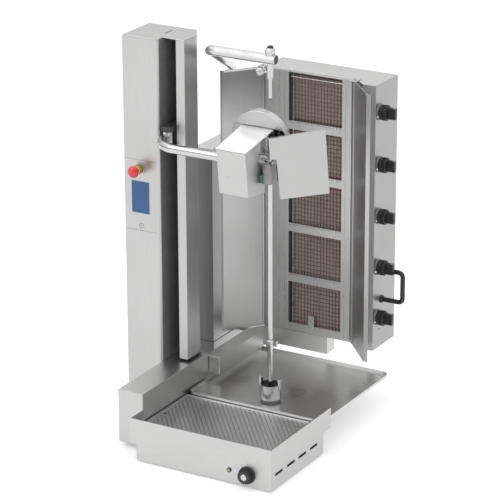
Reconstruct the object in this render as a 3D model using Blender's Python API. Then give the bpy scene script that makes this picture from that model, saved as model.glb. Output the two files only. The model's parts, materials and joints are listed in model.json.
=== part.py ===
"""Vertical rotisserie grill with an automatic slicing head.

Run with: blender --background --python part.py
Metres, +Z up. The origin is on the floor below the centre of the machine. The operator stands
on the -Y side, the gas burners are at the back and the lift column is on the left (-X).
"""
import math

import bmesh
import bpy
from mathutils import Matrix, Vector

# ---- driving dimensions (metres) ----
GAP = 0.0003            # running and seating gap between touching pieces
SHEET = 0.0015          # thin sheet metal
PLATE = 0.002           # thicker sheet metal

# base: a low cabinet with a recessed tray well above it
BASE_RIGHT = 0.310
BASE_LEFT = -0.138
BASE_FRONT = -0.400
WELL_REAR = -0.062
CABINET_LEFT = -0.118
CABINET_REAR = -0.106
CABINET_TOP = 0.066
RIM_Z = 0.126
FRONT_SKIRT_Z = 0.050
THERMO_X, THERMO_Z = 0.2364, 0.0387
PILOT_X, PILOT_Z = 0.1794, 0.0415
FOOT_TOP = 0.0055
FOOT_RADIUS = 0.015
FOOT_SPOTS = ((-0.095, -0.370), (0.288, -0.367), (0.288, -0.178))
TRAY_Z = 0.089
TRAY_REAR = -0.1035
PAN_Z = 0.098
PAN_LIP = 0.009
PAN_FLOOR = PAN_Z - PAN_LIP + SHEET
PAN_FRONT = -0.100
PAN_REAR = 0.304
PAN_CORNER = 0.020
WELL_LEFT = -0.1347

# block that carries the lift column
PLINTH_RIGHT = -0.137
PLINTH_FRONT = -0.333
PLINTH_REAR = 0.022
PLINTH_BOTTOM = 0.013
PLINTH_TOP = 0.171

# lift column: a box on the left, a narrow flange on the right, the carriage slot between
COLUMN_LEFT = -0.334
COLUMN_RIGHT = -0.218
COLUMN_FRONT = -0.098
COLUMN_REAR = 0.045
COLUMN_TOP = 1.118
COLUMN_RADIUS = 0.009
CAP_THICK = 0.003
RAIL_LEFT = -0.177
RAIL_RIGHT = -0.150
RAIL_FRONT = -0.070
RAIL_BOTTOM = 0.179
RAIL_CHAMFER = (0.028, 0.047)
SLOT_BACK = 0.028
SLOT_X = (COLUMN_RIGHT + RAIL_LEFT) / 2

# lift carriage and slicing arm
ARM_Z = 0.840
ARM_Y = -0.165
ARM_RADIUS = 0.0135
ARM_BEND = 0.067
SWING_Y = -0.084
CARRIAGE_BOTTOM = 0.812
CARRIAGE_TOP = 0.873
CARRIAGE_HALF = 0.0165
GUIDE_Y = 0.0
GUIDE_RADIUS = 0.006

# slicing head
HEAD_LEFT = 0.027
HEAD_RIGHT = 0.117
HEAD_TILT = math.radians(7.0)
BLADE_CENTRE = (0.0865, -0.066, 0.870)
GUARD_RADIUS = 0.087
GUARD_DEPTH = 0.020
BLADE_RADIUS = 0.066
BLADE_TEETH = 22

# spit
SPIT_X = 0.096
SPIT_Y = -0.026
SPIT_RADIUS = 0.0068
SPIT_TOP = 0.931
GEAR_MODULE = 0.002
GEAR_TEETH = 28
PINION_TEETH = 14

# rear pillar and the upper spit arm
PILLAR_LEFT = -0.278
PILLAR_RIGHT = -0.218
PILLAR_FRONT = 0.188
PILLAR_REAR = 0.345
PILLAR_SEAM = 0.131
PILLAR_TOP = 0.726
POST = (-0.2335, 0.3295)
UPPER_ARM_Z = 1.0915
UPPER_ARM_Y = SPIT_Y
UPPER_ARM_RADIUS = 0.0145
PIN_BORE = 0.0062

# burner housing on its slide
BEAM_BOTTOM = 0.110
BEAM_TOP = 0.162
BEAM_WIDTH = 0.046
BEAM_LEFT = -0.147
BEAM_FRONT = 0.025
BEAM_REAR = 0.400
CROSS_RIGHT = 0.094
CROSS_FRONT = 0.314
HOUSING_LEFT = -0.117
HOUSING_RIGHT = 0.259
HOUSING_BACK = 0.4202
COVER_THICK = 0.0018
HOUSING_FRONT = 0.314
CHEEK_FRONT = 0.285
HOUSING_BOTTOM = 0.1625
HOUSING_TOP = 0.960
WINDOW_LEFT = -0.033
WINDOW_RIGHT = 0.140
WINDOW_BOTTOM = 0.189
WINDOW_TOP = 0.9545
BURNER_TOP = 0.941
BURNERS = 5
BAR_HEIGHT = 0.026
KNOB_Y = 0.311
KNOB_BOTTOM_Z = 0.2600
KNOB_PITCH = 0.1545
KNOB_REACH = 0.051
HANDLE_Y = 0.337
HANDLE_LOW = 0.3075
HANDLE_HIGH = 0.398
HANDLE_OUT = 0.327
HANDLE_RADIUS = 0.007
WING_THICK = 0.002
WING_BOTTOM = 0.1635
WING_TOP = 0.960
LEFT_HINGE = (-0.1180, 0.3085)
LEFT_TIP = (-0.1945, 0.207)
RIGHT_HINGE = (0.1820, 0.3030)
RIGHT_TIP = (0.2735, 0.202)
KNUCKLE = 0.004

STEEL = ((0.62, 0.62, 0.61), 0.32, 1.0)
SATIN = ((0.55, 0.55, 0.54), 0.38, 1.0)
POLISHED = ((0.80, 0.80, 0.80), 0.12, 1.0)
DARK = ((0.10, 0.10, 0.10), 0.55, 0.6)
BLACK = ((0.02, 0.02, 0.02), 0.40, 0.0)
RUBBER = ((0.03, 0.03, 0.03), 0.80, 0.0)
RED = ((0.55, 0.05, 0.05), 0.35, 0.0)
YELLOW = ((0.80, 0.65, 0.08), 0.40, 0.0)
BLUE = ((0.06, 0.12, 0.42), 0.15, 0.0)
LAMP = ((0.70, 0.75, 0.15), 0.20, 0.0)
CERAMIC = ((0.22, 0.17, 0.16), 0.75, 0.3)
GREEN_GLASS = ((0.10, 0.28, 0.20), 0.10, 0.0)
BRASS = ((0.70, 0.52, 0.20), 0.35, 1.0)


# ---- helpers ----
def clear_scene():
    for old in list(bpy.data.objects):
        bpy.data.objects.remove(old, do_unlink=True)


def material(name, look):
    colour, roughness, metallic = look
    mat = bpy.data.materials.new(name)
    mat.use_nodes = True
    shader = mat.node_tree.nodes["Principled BSDF"]
    shader.inputs["Base Color"].default_value = (*colour, 1.0)
    shader.inputs["Roughness"].default_value = roughness
    shader.inputs["Metallic"].default_value = metallic
    return mat


def finish_mesh(name, bm, look, smooth=False):
    """Turn a bmesh into a named object with its own material."""
    bmesh.ops.recalc_face_normals(bm, faces=bm.faces)
    mesh = bpy.data.meshes.new(name)
    bm.to_mesh(mesh)
    bm.free()
    if smooth:
        mesh.shade_smooth()
        mesh.set_sharp_from_angle(angle=math.radians(35))
    obj = bpy.data.objects.new(name, mesh)
    bpy.context.scene.collection.objects.link(obj)
    if look:
        mesh.materials.append(material(name, look))
    else:
        obj.hide_render = True
        obj.display_type = "WIRE"
    return obj


def move_origin(obj, point):
    """Put an object's origin on its joint without moving its mesh."""
    obj.data.transform(Matrix.Translation(-Vector(point)))
    obj.location = point
    return obj


def box_mesh(low, high):
    bm = bmesh.new()
    bmesh.ops.create_cube(bm, size=1.0)
    size = [high[i] - low[i] for i in range(3)]
    middle = [(high[i] + low[i]) / 2 for i in range(3)]
    bmesh.ops.scale(bm, vec=size, verts=bm.verts)
    bmesh.ops.translate(bm, vec=middle, verts=bm.verts)
    return bm


def box(name, low, high, look, bevel=0.0):
    bm = box_mesh(low, high)
    if bevel:
        bmesh.ops.bevel(bm, geom=bm.edges, offset=bevel, segments=2, affect="EDGES", profile=0.5)
    return finish_mesh(name, bm, look)


def hollow(bm, open_side, wall, depth):
    """Sink the face that looks along open_side, which leaves a tray with that wall."""
    bm.faces.ensure_lookup_table()
    bmesh.ops.recalc_face_normals(bm, faces=bm.faces)
    side = Vector(open_side)
    mouth = max(bm.faces, key=lambda face: face.normal.dot(side) * 10 + face.calc_center_median().dot(side))
    bmesh.ops.inset_region(bm, faces=[mouth], thickness=wall, use_even_offset=True)
    made = bmesh.ops.extrude_discrete_faces(bm, faces=[mouth])
    floor = made["faces"][0]
    bmesh.ops.translate(bm, vec=-side * depth, verts=floor.verts)


def tray_box(name, low, high, open_side, wall, look):
    """A box with one open side."""
    bm = box_mesh(low, high)
    axis = max(range(3), key=lambda i: abs(open_side[i]))
    hollow(bm, open_side, wall, high[axis] - low[axis] - wall)
    return finish_mesh(name, bm, look)


def outline_face(bm, outline, place):
    verts = [bm.verts.new(place(a, b)) for a, b in outline]
    return bm.faces.new(verts)


PLANES = {
    "xy": (lambda level: lambda a, b: (a, b, level), Vector((0, 0, 1))),
    "xz": (lambda level: lambda a, b: (a, level, b), Vector((0, 1, 0))),
    "yz": (lambda level: lambda a, b: (level, a, b), Vector((1, 0, 0))),
}


def prism_mesh(outline, plane, start, end):
    """Extrude a flat outline from start to end along the axis that the plane leaves out."""
    bm = bmesh.new()
    place, along = PLANES[plane]
    face = outline_face(bm, outline, place(start))
    made = bmesh.ops.extrude_face_region(bm, geom=[face])
    moved = [item for item in made["geom"] if isinstance(item, bmesh.types.BMVert)]
    bmesh.ops.translate(bm, vec=along * (end - start), verts=moved)
    bmesh.ops.recalc_face_normals(bm, faces=bm.faces)
    return bm


def prism(name, outline, plane, start, end, look, smooth=False):
    return finish_mesh(name, prism_mesh(outline, plane, start, end), look, smooth)


def inset_outline(outline, wall):
    """Move every side of a counter-clockwise outline inwards by the wall."""
    count = len(outline)
    points = []
    for index in range(count):
        here = Vector(outline[index])
        before = (here - Vector(outline[index - 1])).normalized()
        after = (Vector(outline[(index + 1) % count]) - here).normalized()
        inward = Vector((-before.y, before.x)) + Vector((-after.y, after.x))
        points.append(here + inward * wall / (1 + before.dot(after)))
    return points


def profile_tube(name, outline, wall, bottom, top, look, smooth=False):
    """An upright thin-walled tube whose outside follows the outline; both ends are open."""
    bm = bmesh.new()
    rings = []
    inner = inset_outline(outline, wall)
    for points, level in ((outline, bottom), (outline, top), (inner, top), (inner, bottom)):
        rings.append([bm.verts.new((point[0], point[1], level)) for point in points])
    count = len(outline)
    for index in range(4):
        one = rings[index]
        two = rings[(index + 1) % 4]
        for k in range(count):
            bm.faces.new((one[k], one[(k + 1) % count], two[(k + 1) % count], two[k]))
    return finish_mesh(name, bm, look, smooth)


def rounded(outline, radii, steps=4):
    """Replace corners of an outline by arcs; radii maps a corner's index to its radius."""
    points = []
    count = len(outline)
    for index, corner in enumerate(outline):
        here = Vector(corner)
        if index not in radii:
            points.append(tuple(here))
            continue
        before = (Vector(outline[index - 1]) - here).normalized()
        after = (Vector(outline[(index + 1) % count]) - here).normalized()
        half = before.angle(after) / 2
        reach = radii[index] / math.tan(half)
        centre = here + (before + after).normalized() * (radii[index] / math.sin(half))
        start = here + before * reach - centre
        turn = math.pi - 2 * half
        if start.to_3d().cross((here + after * reach - centre).to_3d()).z < 0:
            turn = -turn
        for step in range(steps + 1):
            spin = Matrix.Rotation(turn * step / steps, 2)
            points.append(tuple(centre + spin @ start))
    return points


def turned(name, profile, look, segments=32, place=None):
    """Revolve (radius, height) points about Z; place moves the finished shape."""
    bm = bmesh.new()
    rings = []
    for radius, height in profile:
        if radius == 0:
            rings.append([bm.verts.new((0, 0, height))])
            continue
        angles = [2 * math.pi * k / segments for k in range(segments)]
        rings.append([bm.verts.new((radius * math.cos(a), radius * math.sin(a), height)) for a in angles])
    closed = profile[0][0] > 0
    pairs = list(zip(rings, rings[1:]))
    if closed:
        pairs.append((rings[-1], rings[0]))
    for upper, lower in pairs:
        for k in range(segments):
            corner = [ring[(k + step) % len(ring)] for ring, step in
                      ((upper, 0), (upper, 1), (lower, 1), (lower, 0))]
            unique = list(dict.fromkeys(corner))
            if len(unique) > 2:
                bm.faces.new(unique)
    if place:
        bm.transform(place)
    return finish_mesh(name, bm, look, smooth=True)


def facing(direction, at):
    """Matrix that points a turned shape's +Z along a direction, at a point."""
    aim = Vector(direction).to_track_quat("Z", "Y").to_matrix().to_4x4()
    return Matrix.Translation(at) @ aim


def rounded_path(corners, radii, steps=8):
    """A route through corner points in space with an arc at each inner corner."""
    route = [Vector(corners[0])]
    for index in range(1, len(corners) - 1):
        here = Vector(corners[index])
        before = (Vector(corners[index - 1]) - here).normalized()
        after = (Vector(corners[index + 1]) - here).normalized()
        half = before.angle(after) / 2
        radius = radii[index - 1]
        reach = radius / math.tan(half)
        centre = here + (before + after).normalized() * (radius / math.sin(half))
        start = here + before * reach - centre
        end = here + after * reach - centre
        axis = start.cross(end).normalized()
        turn = start.angle(end)
        for step in range(steps + 1):
            route.append(centre + Matrix.Rotation(turn * step / steps, 3, axis) @ start)
    route.append(Vector(corners[-1]))
    return route


def pipe(name, route, radius, look, sides=16):
    """A round bar swept along a route, with flat ends."""
    bm = bmesh.new()
    rings = []
    tangents = []
    for index, point in enumerate(route):
        before = route[max(index - 1, 0)]
        after = route[min(index + 1, len(route) - 1)]
        tangents.append((after - before).normalized())
    side = tangents[0].orthogonal().normalized()
    for index, point in enumerate(route):
        if index:
            side = tangents[index - 1].rotation_difference(tangents[index]) @ side
        other = tangents[index].cross(side)
        angles = [2 * math.pi * k / sides for k in range(sides)]
        rings.append([bm.verts.new(point + radius * (side * math.cos(a) + other * math.sin(a)))
                      for a in angles])
    for one, two in zip(rings, rings[1:]):
        for k in range(sides):
            bm.faces.new((one[k], one[(k + 1) % sides], two[(k + 1) % sides], two[k]))
    bm.faces.new(rings[0])
    bm.faces.new(rings[-1])
    return finish_mesh(name, bm, look, smooth=True)


def combine(obj, tool, operation):
    """Apply a Boolean and drop the tool, so that only named parts stay in the scene."""
    modifier = obj.modifiers.new(operation.title(), "BOOLEAN")
    modifier.operation = operation
    modifier.solver = "EXACT"
    modifier.object = tool
    graph = bpy.context.evaluated_depsgraph_get()
    made = bpy.data.meshes.new_from_object(obj.evaluated_get(graph))
    obj.modifiers.clear()
    old = obj.data
    obj.data = made
    bpy.data.meshes.remove(old)
    bpy.data.objects.remove(tool, do_unlink=True)
    return obj


def cut_box(obj, low, high):
    return combine(obj, finish_mesh("cutter", box_mesh(low, high), None), "DIFFERENCE")


def cut_round(obj, at, direction, radius, length, segments=24):
    half = length / 2
    rod = [(0, half), (radius, half), (radius, -half), (0, -half)]
    tool = turned("cutter", rod, None, segments, facing(direction, at))
    return combine(obj, tool, "DIFFERENCE")


def add_box(obj, low, high):
    return combine(obj, finish_mesh("adder", box_mesh(low, high), None), "UNION")


def tilt_about_blade(obj):
    """Lean a part about the blade's centre by the head's tilt."""
    pivot = Vector(BLADE_CENTRE)
    lean = Matrix.Translation(pivot) @ Matrix.Rotation(HEAD_TILT, 4, "X") @ Matrix.Translation(-pivot)
    obj.data.transform(lean)
    return obj


def gear_outline(teeth, phase):
    """Straight-flanked teeth, a little narrower than their gaps."""
    pitch = GEAR_MODULE * teeth / 2
    tip = pitch + 0.75 * GEAR_MODULE
    root = pitch - 1.05 * GEAR_MODULE
    points = []
    for tooth in range(teeth):
        middle = phase + 2 * math.pi * tooth / teeth
        half = math.pi / teeth
        for radius, share in ((root, -0.62), (tip, -0.24), (tip, 0.24), (root, 0.62)):
            angle = middle + half * share
            points.append((radius * math.cos(angle), radius * math.sin(angle)))
    return points


# ---- base ----
def make_base():
    tub = tray_box("base_tub", (WELL_LEFT - PLATE, BASE_FRONT + PLATE + GAP, CABINET_TOP + GAP),
                   (BASE_RIGHT - PLATE - GAP, WELL_REAR, RIM_Z - GAP), (0, 0, 1), SHEET, STEEL)
    cut_box(tub, (WELL_LEFT - 0.01, PLINTH_FRONT - GAP, 0.05), (WELL_LEFT - GAP, 0.0, 0.2))
    cut_box(tub, (BASE_LEFT - 0.02, WELL_REAR - PLATE, PAN_Z - PAN_LIP - GAP), (BASE_RIGHT + 0.02, 0.0, 0.2))

    cabinet = tray_box("base_cabinet", (CABINET_LEFT, BASE_FRONT + PLATE + GAP, FOOT_TOP + GAP),
                       (BASE_RIGHT - PLATE - GAP, CABINET_REAR, CABINET_TOP), (0, 0, 1), SHEET, STEEL)
    edge = 0.012
    cut_box(cabinet, (CABINET_LEFT + edge, BASE_FRONT, edge), (BASE_RIGHT - edge, BASE_FRONT + edge, 0.08))
    cut_box(cabinet, (BASE_RIGHT - edge, BASE_FRONT + edge, edge), (BASE_RIGHT, CABINET_REAR - edge, 0.08))

    left, right = BASE_LEFT, BASE_RIGHT
    front = [(left, RIM_Z), (right, RIM_Z), (right, FOOT_TOP), (CABINET_LEFT, FOOT_TOP),
             (CABINET_LEFT, FRONT_SKIRT_Z), (left, FRONT_SKIRT_Z)]
    panel = prism("front_panel", front, "xz", BASE_FRONT, BASE_FRONT + PLATE, STEEL)
    cut_round(panel, (THERMO_X, BASE_FRONT, THERMO_Z), (0, 1, 0), 0.005, 0.02)
    cut_round(panel, (PILOT_X, BASE_FRONT, PILOT_Z), (0, 1, 0), 0.005, 0.02)

    start = BASE_FRONT + PLATE + GAP
    side = [(start, RIM_Z), (WELL_REAR, RIM_Z), (WELL_REAR, CABINET_TOP - 0.001),
            (CABINET_REAR, CABINET_TOP - 0.001), (CABINET_REAR, FOOT_TOP), (start, FOOT_TOP)]
    panel = prism("side_panel", side, "yz", BASE_RIGHT - PLATE, BASE_RIGHT, STEEL)
    for middle in (-0.3565, -0.2900, -0.2255, -0.1610):
        ends = (middle - 0.021, middle + 0.021)
        cut_box(panel, (BASE_RIGHT - 0.01, ends[0], 0.0420), (BASE_RIGHT + 0.01, ends[1], 0.0505))

    for index, (x, y) in enumerate(FOOT_SPOTS):
        foot = [(0, FOOT_TOP), (0.010, FOOT_TOP), (FOOT_RADIUS, 0.002), (FOOT_RADIUS, 0), (0, 0)]
        turned(f"foot_{index + 1}", foot, RUBBER, 20, Matrix.Translation((x, y, 0)))


def make_trays():
    right = BASE_RIGHT - PLATE - SHEET - 0.001
    left = WELL_LEFT + 0.002
    tray = tray_box("crumb_tray", (left, BASE_FRONT + 0.0045, CABINET_TOP + SHEET + 0.0006),
                    (right, TRAY_REAR, TRAY_Z), (0, 0, -1), SHEET, SATIN)
    for x in (left + 0.0155, right - 0.0155):
        cut_round(tray, (x, -0.241, TRAY_Z), (0, 0, 1), 0.006, 0.01, 16)

    outline = [(left, PAN_FRONT), (right, PAN_FRONT), (right, PAN_REAR), (left, PAN_REAR)]
    outline = rounded(outline, {0: PAN_CORNER, 2: PAN_CORNER, 3: PAN_CORNER})
    bm = prism_mesh(outline, "xy", PAN_Z - PAN_LIP, PAN_Z)
    hollow(bm, (0, 0, 1), SHEET, PAN_LIP - SHEET)
    pan = finish_mesh("drip_pan", bm, SATIN)
    cut_round(pan, (SPIT_X, SPIT_Y, PAN_Z), (0, 0, 1), 0.011, 0.03)

    tray_box("rear_frame", (left - 0.001, WELL_REAR + 0.001, 0.0),
             (0.150, PAN_REAR + 0.0005, PAN_Z - PAN_LIP - GAP), (0, 0, 1), PLATE, SATIN)


def make_front_controls():
    knob = [(0, 0.0217), (0.008, 0.0217), (0.009, 0.0210), (0.018, 0.0205), (0.020, 0.006),
            (0.0245, 0.0055), (0.025, 0.0), (0.003, 0.0), (0.003, -0.012), (0, -0.012)]
    place = facing((0, -1, 0), (THERMO_X, BASE_FRONT - GAP, THERMO_Z))
    knob = turned("thermostat_knob", knob, BLACK, 32, place)
    move_origin(knob, (THERMO_X, BASE_FRONT - GAP, THERMO_Z))
    lamp = [(0, 0.0055), (0.003, 0.005), (0.0045, 0.0035), (0.0065, 0.003), (0.007, 0.0),
            (0.0042, 0.0), (0.0042, -0.010), (0, -0.010)]
    turned("pilot_lamp", lamp, LAMP, 20, facing((0, -1, 0), (PILOT_X, BASE_FRONT - GAP, PILOT_Z)))


# ---- lift column ----
def make_column():
    tray_box("plinth", (COLUMN_RIGHT + GAP, PLINTH_FRONT, PLINTH_BOTTOM),
             (PLINTH_RIGHT, PLINTH_REAR, PLINTH_TOP), (0, 0, -1), PLATE, STEEL)
    outline = [(COLUMN_LEFT, COLUMN_FRONT), (COLUMN_RIGHT, COLUMN_FRONT), (COLUMN_RIGHT, COLUMN_REAR),
               (COLUMN_LEFT, COLUMN_REAR)]
    profile_tube("column_box", rounded(outline, {1: COLUMN_RADIUS}), PLATE, 0.0, COLUMN_TOP, STEEL, True)
    outline = [(RAIL_LEFT, RAIL_FRONT), (RAIL_RIGHT, RAIL_FRONT), (RAIL_RIGHT, COLUMN_REAR - RAIL_CHAMFER[1]),
               (RAIL_RIGHT - RAIL_CHAMFER[0], COLUMN_REAR), (COLUMN_RIGHT + GAP, COLUMN_REAR),
               (COLUMN_RIGHT + GAP, SLOT_BACK), (RAIL_LEFT, SLOT_BACK)]
    profile_tube("rail_cover", outline, SHEET, RAIL_BOTTOM, COLUMN_TOP, STEEL)
    notch = (COLUMN_RIGHT - 0.001, RAIL_FRONT + 0.002)
    outline = [(COLUMN_LEFT, COLUMN_FRONT), (COLUMN_RIGHT - COLUMN_RADIUS, COLUMN_FRONT),
               (COLUMN_RIGHT - 0.001, COLUMN_FRONT + COLUMN_RADIUS), notch, (RAIL_LEFT - 0.004, notch[1]),
               (RAIL_LEFT, RAIL_FRONT), (RAIL_RIGHT, RAIL_FRONT), (RAIL_RIGHT, COLUMN_REAR - RAIL_CHAMFER[1]),
               (RAIL_RIGHT - RAIL_CHAMFER[0], COLUMN_REAR), (COLUMN_LEFT, COLUMN_REAR)]
    top = prism("column_cap", outline, "xy", COLUMN_TOP + GAP, COLUMN_TOP + CAP_THICK, STEEL)
    cut_box(top, (-0.2375, -0.030, COLUMN_TOP - 0.01), (-0.2335, 0.008, COLUMN_TOP + 0.01))


def make_column_controls():
    x, z = -0.279, 0.742
    body = [(0, 0.014), (0.0076, 0.014), (0.0076, 0.024), (0.0120, 0.024), (0.0125, 0.023),
            (0.0125, 0.0085), (0.0180, 0.008), (0.0180, 0.0), (0, 0.0)]
    turned("estop_base", body, YELLOW, 24, facing((0, -1, 0), (x, COLUMN_FRONT - GAP, z)))
    dome = [(0, 0.0520), (0.008, 0.0510), (0.014, 0.0475), (0.0170, 0.0420), (0.0170, 0.0380),
            (0.013, 0.0370), (0.0070, 0.0360), (0.0070, 0.0200), (0, 0.0200)]
    button = turned("estop_button", dome, RED, 24, facing((0, -1, 0), (x, COLUMN_FRONT - GAP, z)))
    move_origin(button, (x, COLUMN_FRONT - GAP, z))
    box("screen", (-0.309, COLUMN_FRONT - 0.0025, 0.610), (-0.255, COLUMN_FRONT - GAP, 0.701), BLUE, 0.0006)


def make_lift():
    box("lift_motor", (SLOT_X - 0.017, GUIDE_Y - 0.020, 1.050),
        (SLOT_X + 0.017, GUIDE_Y + 0.020, COLUMN_TOP - GAP), DARK, 0.002)
    rod = [(0, 1.0495), (GUIDE_RADIUS, 1.0495), (GUIDE_RADIUS, PLINTH_TOP + GAP), (0, PLINTH_TOP + GAP)]
    turned("guide_rod", rod, STEEL, 20, Matrix.Translation((SLOT_X, GUIDE_Y, 0)))

    front = COLUMN_FRONT + 0.003
    carriage = box("lift_carriage", (SLOT_X - CARRIAGE_HALF, front, CARRIAGE_BOTTOM),
                   (SLOT_X + CARRIAGE_HALF, 0.018, CARRIAGE_TOP), DARK)
    cut_round(carriage, (SLOT_X, GUIDE_Y, ARM_Z), (0, 0, 1), GUIDE_RADIUS + GAP, 0.1)
    cut_box(carriage, (SLOT_X - 0.03, front - 0.01, ARM_Z - 0.019),
            (SLOT_X + 0.03, SWING_Y + 0.018, ARM_Z + 0.019))
    move_origin(carriage, (SLOT_X, GUIDE_Y, ARM_Z))


def make_arm():
    corners = [(SLOT_X, SWING_Y - 0.004, ARM_Z), (SLOT_X, ARM_Y, ARM_Z), (HEAD_LEFT - 0.0006, ARM_Y, ARM_Z)]
    arm = pipe("slicer_arm", rounded_path(corners, [ARM_BEND], 10), ARM_RADIUS, STEEL, 20)
    knuckle = [(0, 0.0185), (0.0145, 0.0185), (0.0145, -0.0185), (0, -0.0185)]
    barrel = turned("adder", knuckle, None, 24, Matrix.Translation((SLOT_X, SWING_Y, ARM_Z)))
    combine(arm, barrel, "UNION")
    move_origin(arm, (SLOT_X, SWING_Y, ARM_Z))


# ---- slicing head ----
def make_head():
    side = [(-0.200, 0.873), (-0.184, 0.744), (-0.092, 0.733), (-0.098, 0.896)]
    body = prism("head_box", side, "yz", HEAD_LEFT, HEAD_RIGHT, STEEL)
    room = [(-0.1975, 0.8712), (-0.1815, 0.7462), (-0.080, 0.7340), (-0.080, 0.8985)]
    tool = finish_mesh("cutter", prism_mesh(room, "yz", HEAD_LEFT + PLATE, HEAD_RIGHT - PLATE), None)
    combine(body, tool, "DIFFERENCE")
    move_origin(body, (HEAD_LEFT, ARM_Y, ARM_Z))

    motor = [(0, 0.0), (0.026, 0.0), (0.026, -0.055), (0.024, -0.058), (0, -0.058)]
    turned("blade_motor", motor, DARK, 24, facing((0, 1, 0), (HEAD_LEFT + 0.045, -0.110, 0.815)))

    lid = bmesh.new()
    corners = [(HEAD_LEFT - 0.001, -0.2015, 0.8745), (HEAD_RIGHT + 0.001, -0.2015, 0.8745),
               (HEAD_RIGHT + 0.012, -0.070, 0.9045), (HEAD_LEFT + 0.002, -0.070, 0.9045)]
    face = lid.faces.new([lid.verts.new(corner) for corner in corners])
    made = bmesh.ops.extrude_face_region(lid, geom=[face])
    moved = [item for item in made["geom"] if isinstance(item, bmesh.types.BMVert)]
    bmesh.ops.translate(lid, vec=(0, 0, 0.0015), verts=moved)
    finish_mesh("head_lid", lid, POLISHED)

    middle = Vector(BLADE_CENTRE)
    rim = GUARD_RADIUS
    sweep = [math.radians(6 + 188 * k / 36) for k in range(37)]
    outer = [(middle.x + rim * math.cos(a), middle.z + rim * math.sin(a)) for a in sweep]
    inner = [(middle.x + (rim - PLATE) * math.cos(a), middle.z + (rim - PLATE) * math.sin(a)) for a in sweep]
    guard = prism("blade_guard", outer + inner[::-1], "xz", middle.y, middle.y + GUARD_DEPTH, STEEL, True)
    chord = math.asin(0.040 / (rim - 0.001))
    arc = [chord + (math.pi - 2 * chord) * k / 24 for k in range(25)]
    cover = [(middle.x + (rim - 0.001) * math.cos(a), middle.z + (rim - 0.001) * math.sin(a)) for a in arc]
    plate = finish_mesh("adder", prism_mesh(cover, "xz", middle.y, middle.y + PLATE), None)
    combine(guard, plate, "UNION")
    tilt_about_blade(guard)


def make_blade():
    middle = Vector(BLADE_CENTRE)
    points = []
    steps = BLADE_TEETH * 4
    for k in range(steps):
        angle = 2 * math.pi * k / steps
        radius = BLADE_RADIUS + 0.0022 * math.cos(BLADE_TEETH * angle)
        points.append((middle.x + radius * math.cos(angle), middle.z + radius * math.sin(angle)))
    blade = prism("blade", points, "xz", middle.y + 0.010, middle.y + 0.012, POLISHED)
    hub = [(0, 0.013), (0.012, 0.012), (0.014, 0.0095), (0.014, 0.006), (0.006, 0.005), (0.006, -0.018),
           (0, -0.018)]
    tool = turned("adder", hub, None, 24, facing((0, 1, 0), BLADE_CENTRE))
    combine(blade, tool, "UNION")
    tilt_about_blade(blade)
    move_origin(blade, BLADE_CENTRE)


def make_deflector():
    """Shallow pan-shaped shield to the right of the head, turned towards the burners."""
    outline = [(0.0, 0.0), (0.168, 0.005), (0.177, -0.175), (0.031, -0.173), (0.022, -0.060), (0.003, -0.058)]
    bm = prism_mesh(outline, "xz", 0.0, 0.011)
    hollow(bm, (0, 1, 0), SHEET, 0.0095)
    turn = Matrix.Rotation(math.radians(52.7), 4, "Z")
    lean = Matrix.Rotation(math.radians(-3.2), 4, "X")
    bm.transform(Matrix.Translation((0.144, -0.120, 0.898)) @ turn @ lean)
    shield = finish_mesh("side_shield", bm, STEEL)
    add_box(shield, (HEAD_RIGHT + 0.0005, -0.121, 0.842), (0.1405, -0.112, 0.850))

    screw = [(0, 0.026), (0.0045, 0.026), (0.005, 0.025), (0.005, 0.018), (0.0045, 0.017), (0.003, 0.017),
             (0.003, 0.0), (0, 0.0)]
    place = facing((1, 0, 0), (HEAD_RIGHT + 0.0005, -0.106, 0.834))
    screw = turned("thumb_screw", screw, POLISHED, 16, place)
    move_origin(screw, (HEAD_RIGHT + 0.0005, -0.106, 0.834))

    eye = [(0, 0.0300), (0.005, 0.0280), (0.0100, 0.0190), (0.0145, 0.0060), (0.0155, -0.002),
           (0.0155, -0.027), (0.0135, -0.030), (0, -0.030)]
    dome = turned("camera_dome", eye, GREEN_GLASS, 28, Matrix.Translation((0.1330, -0.107, 0.796)))
    add_box(dome, (HEAD_RIGHT + 0.0005, -0.116, 0.771), (0.1220, -0.098, 0.790))
    add_box(dome, (0.1350, -0.098, 0.768), (0.1380, -0.072, 0.812))


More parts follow.
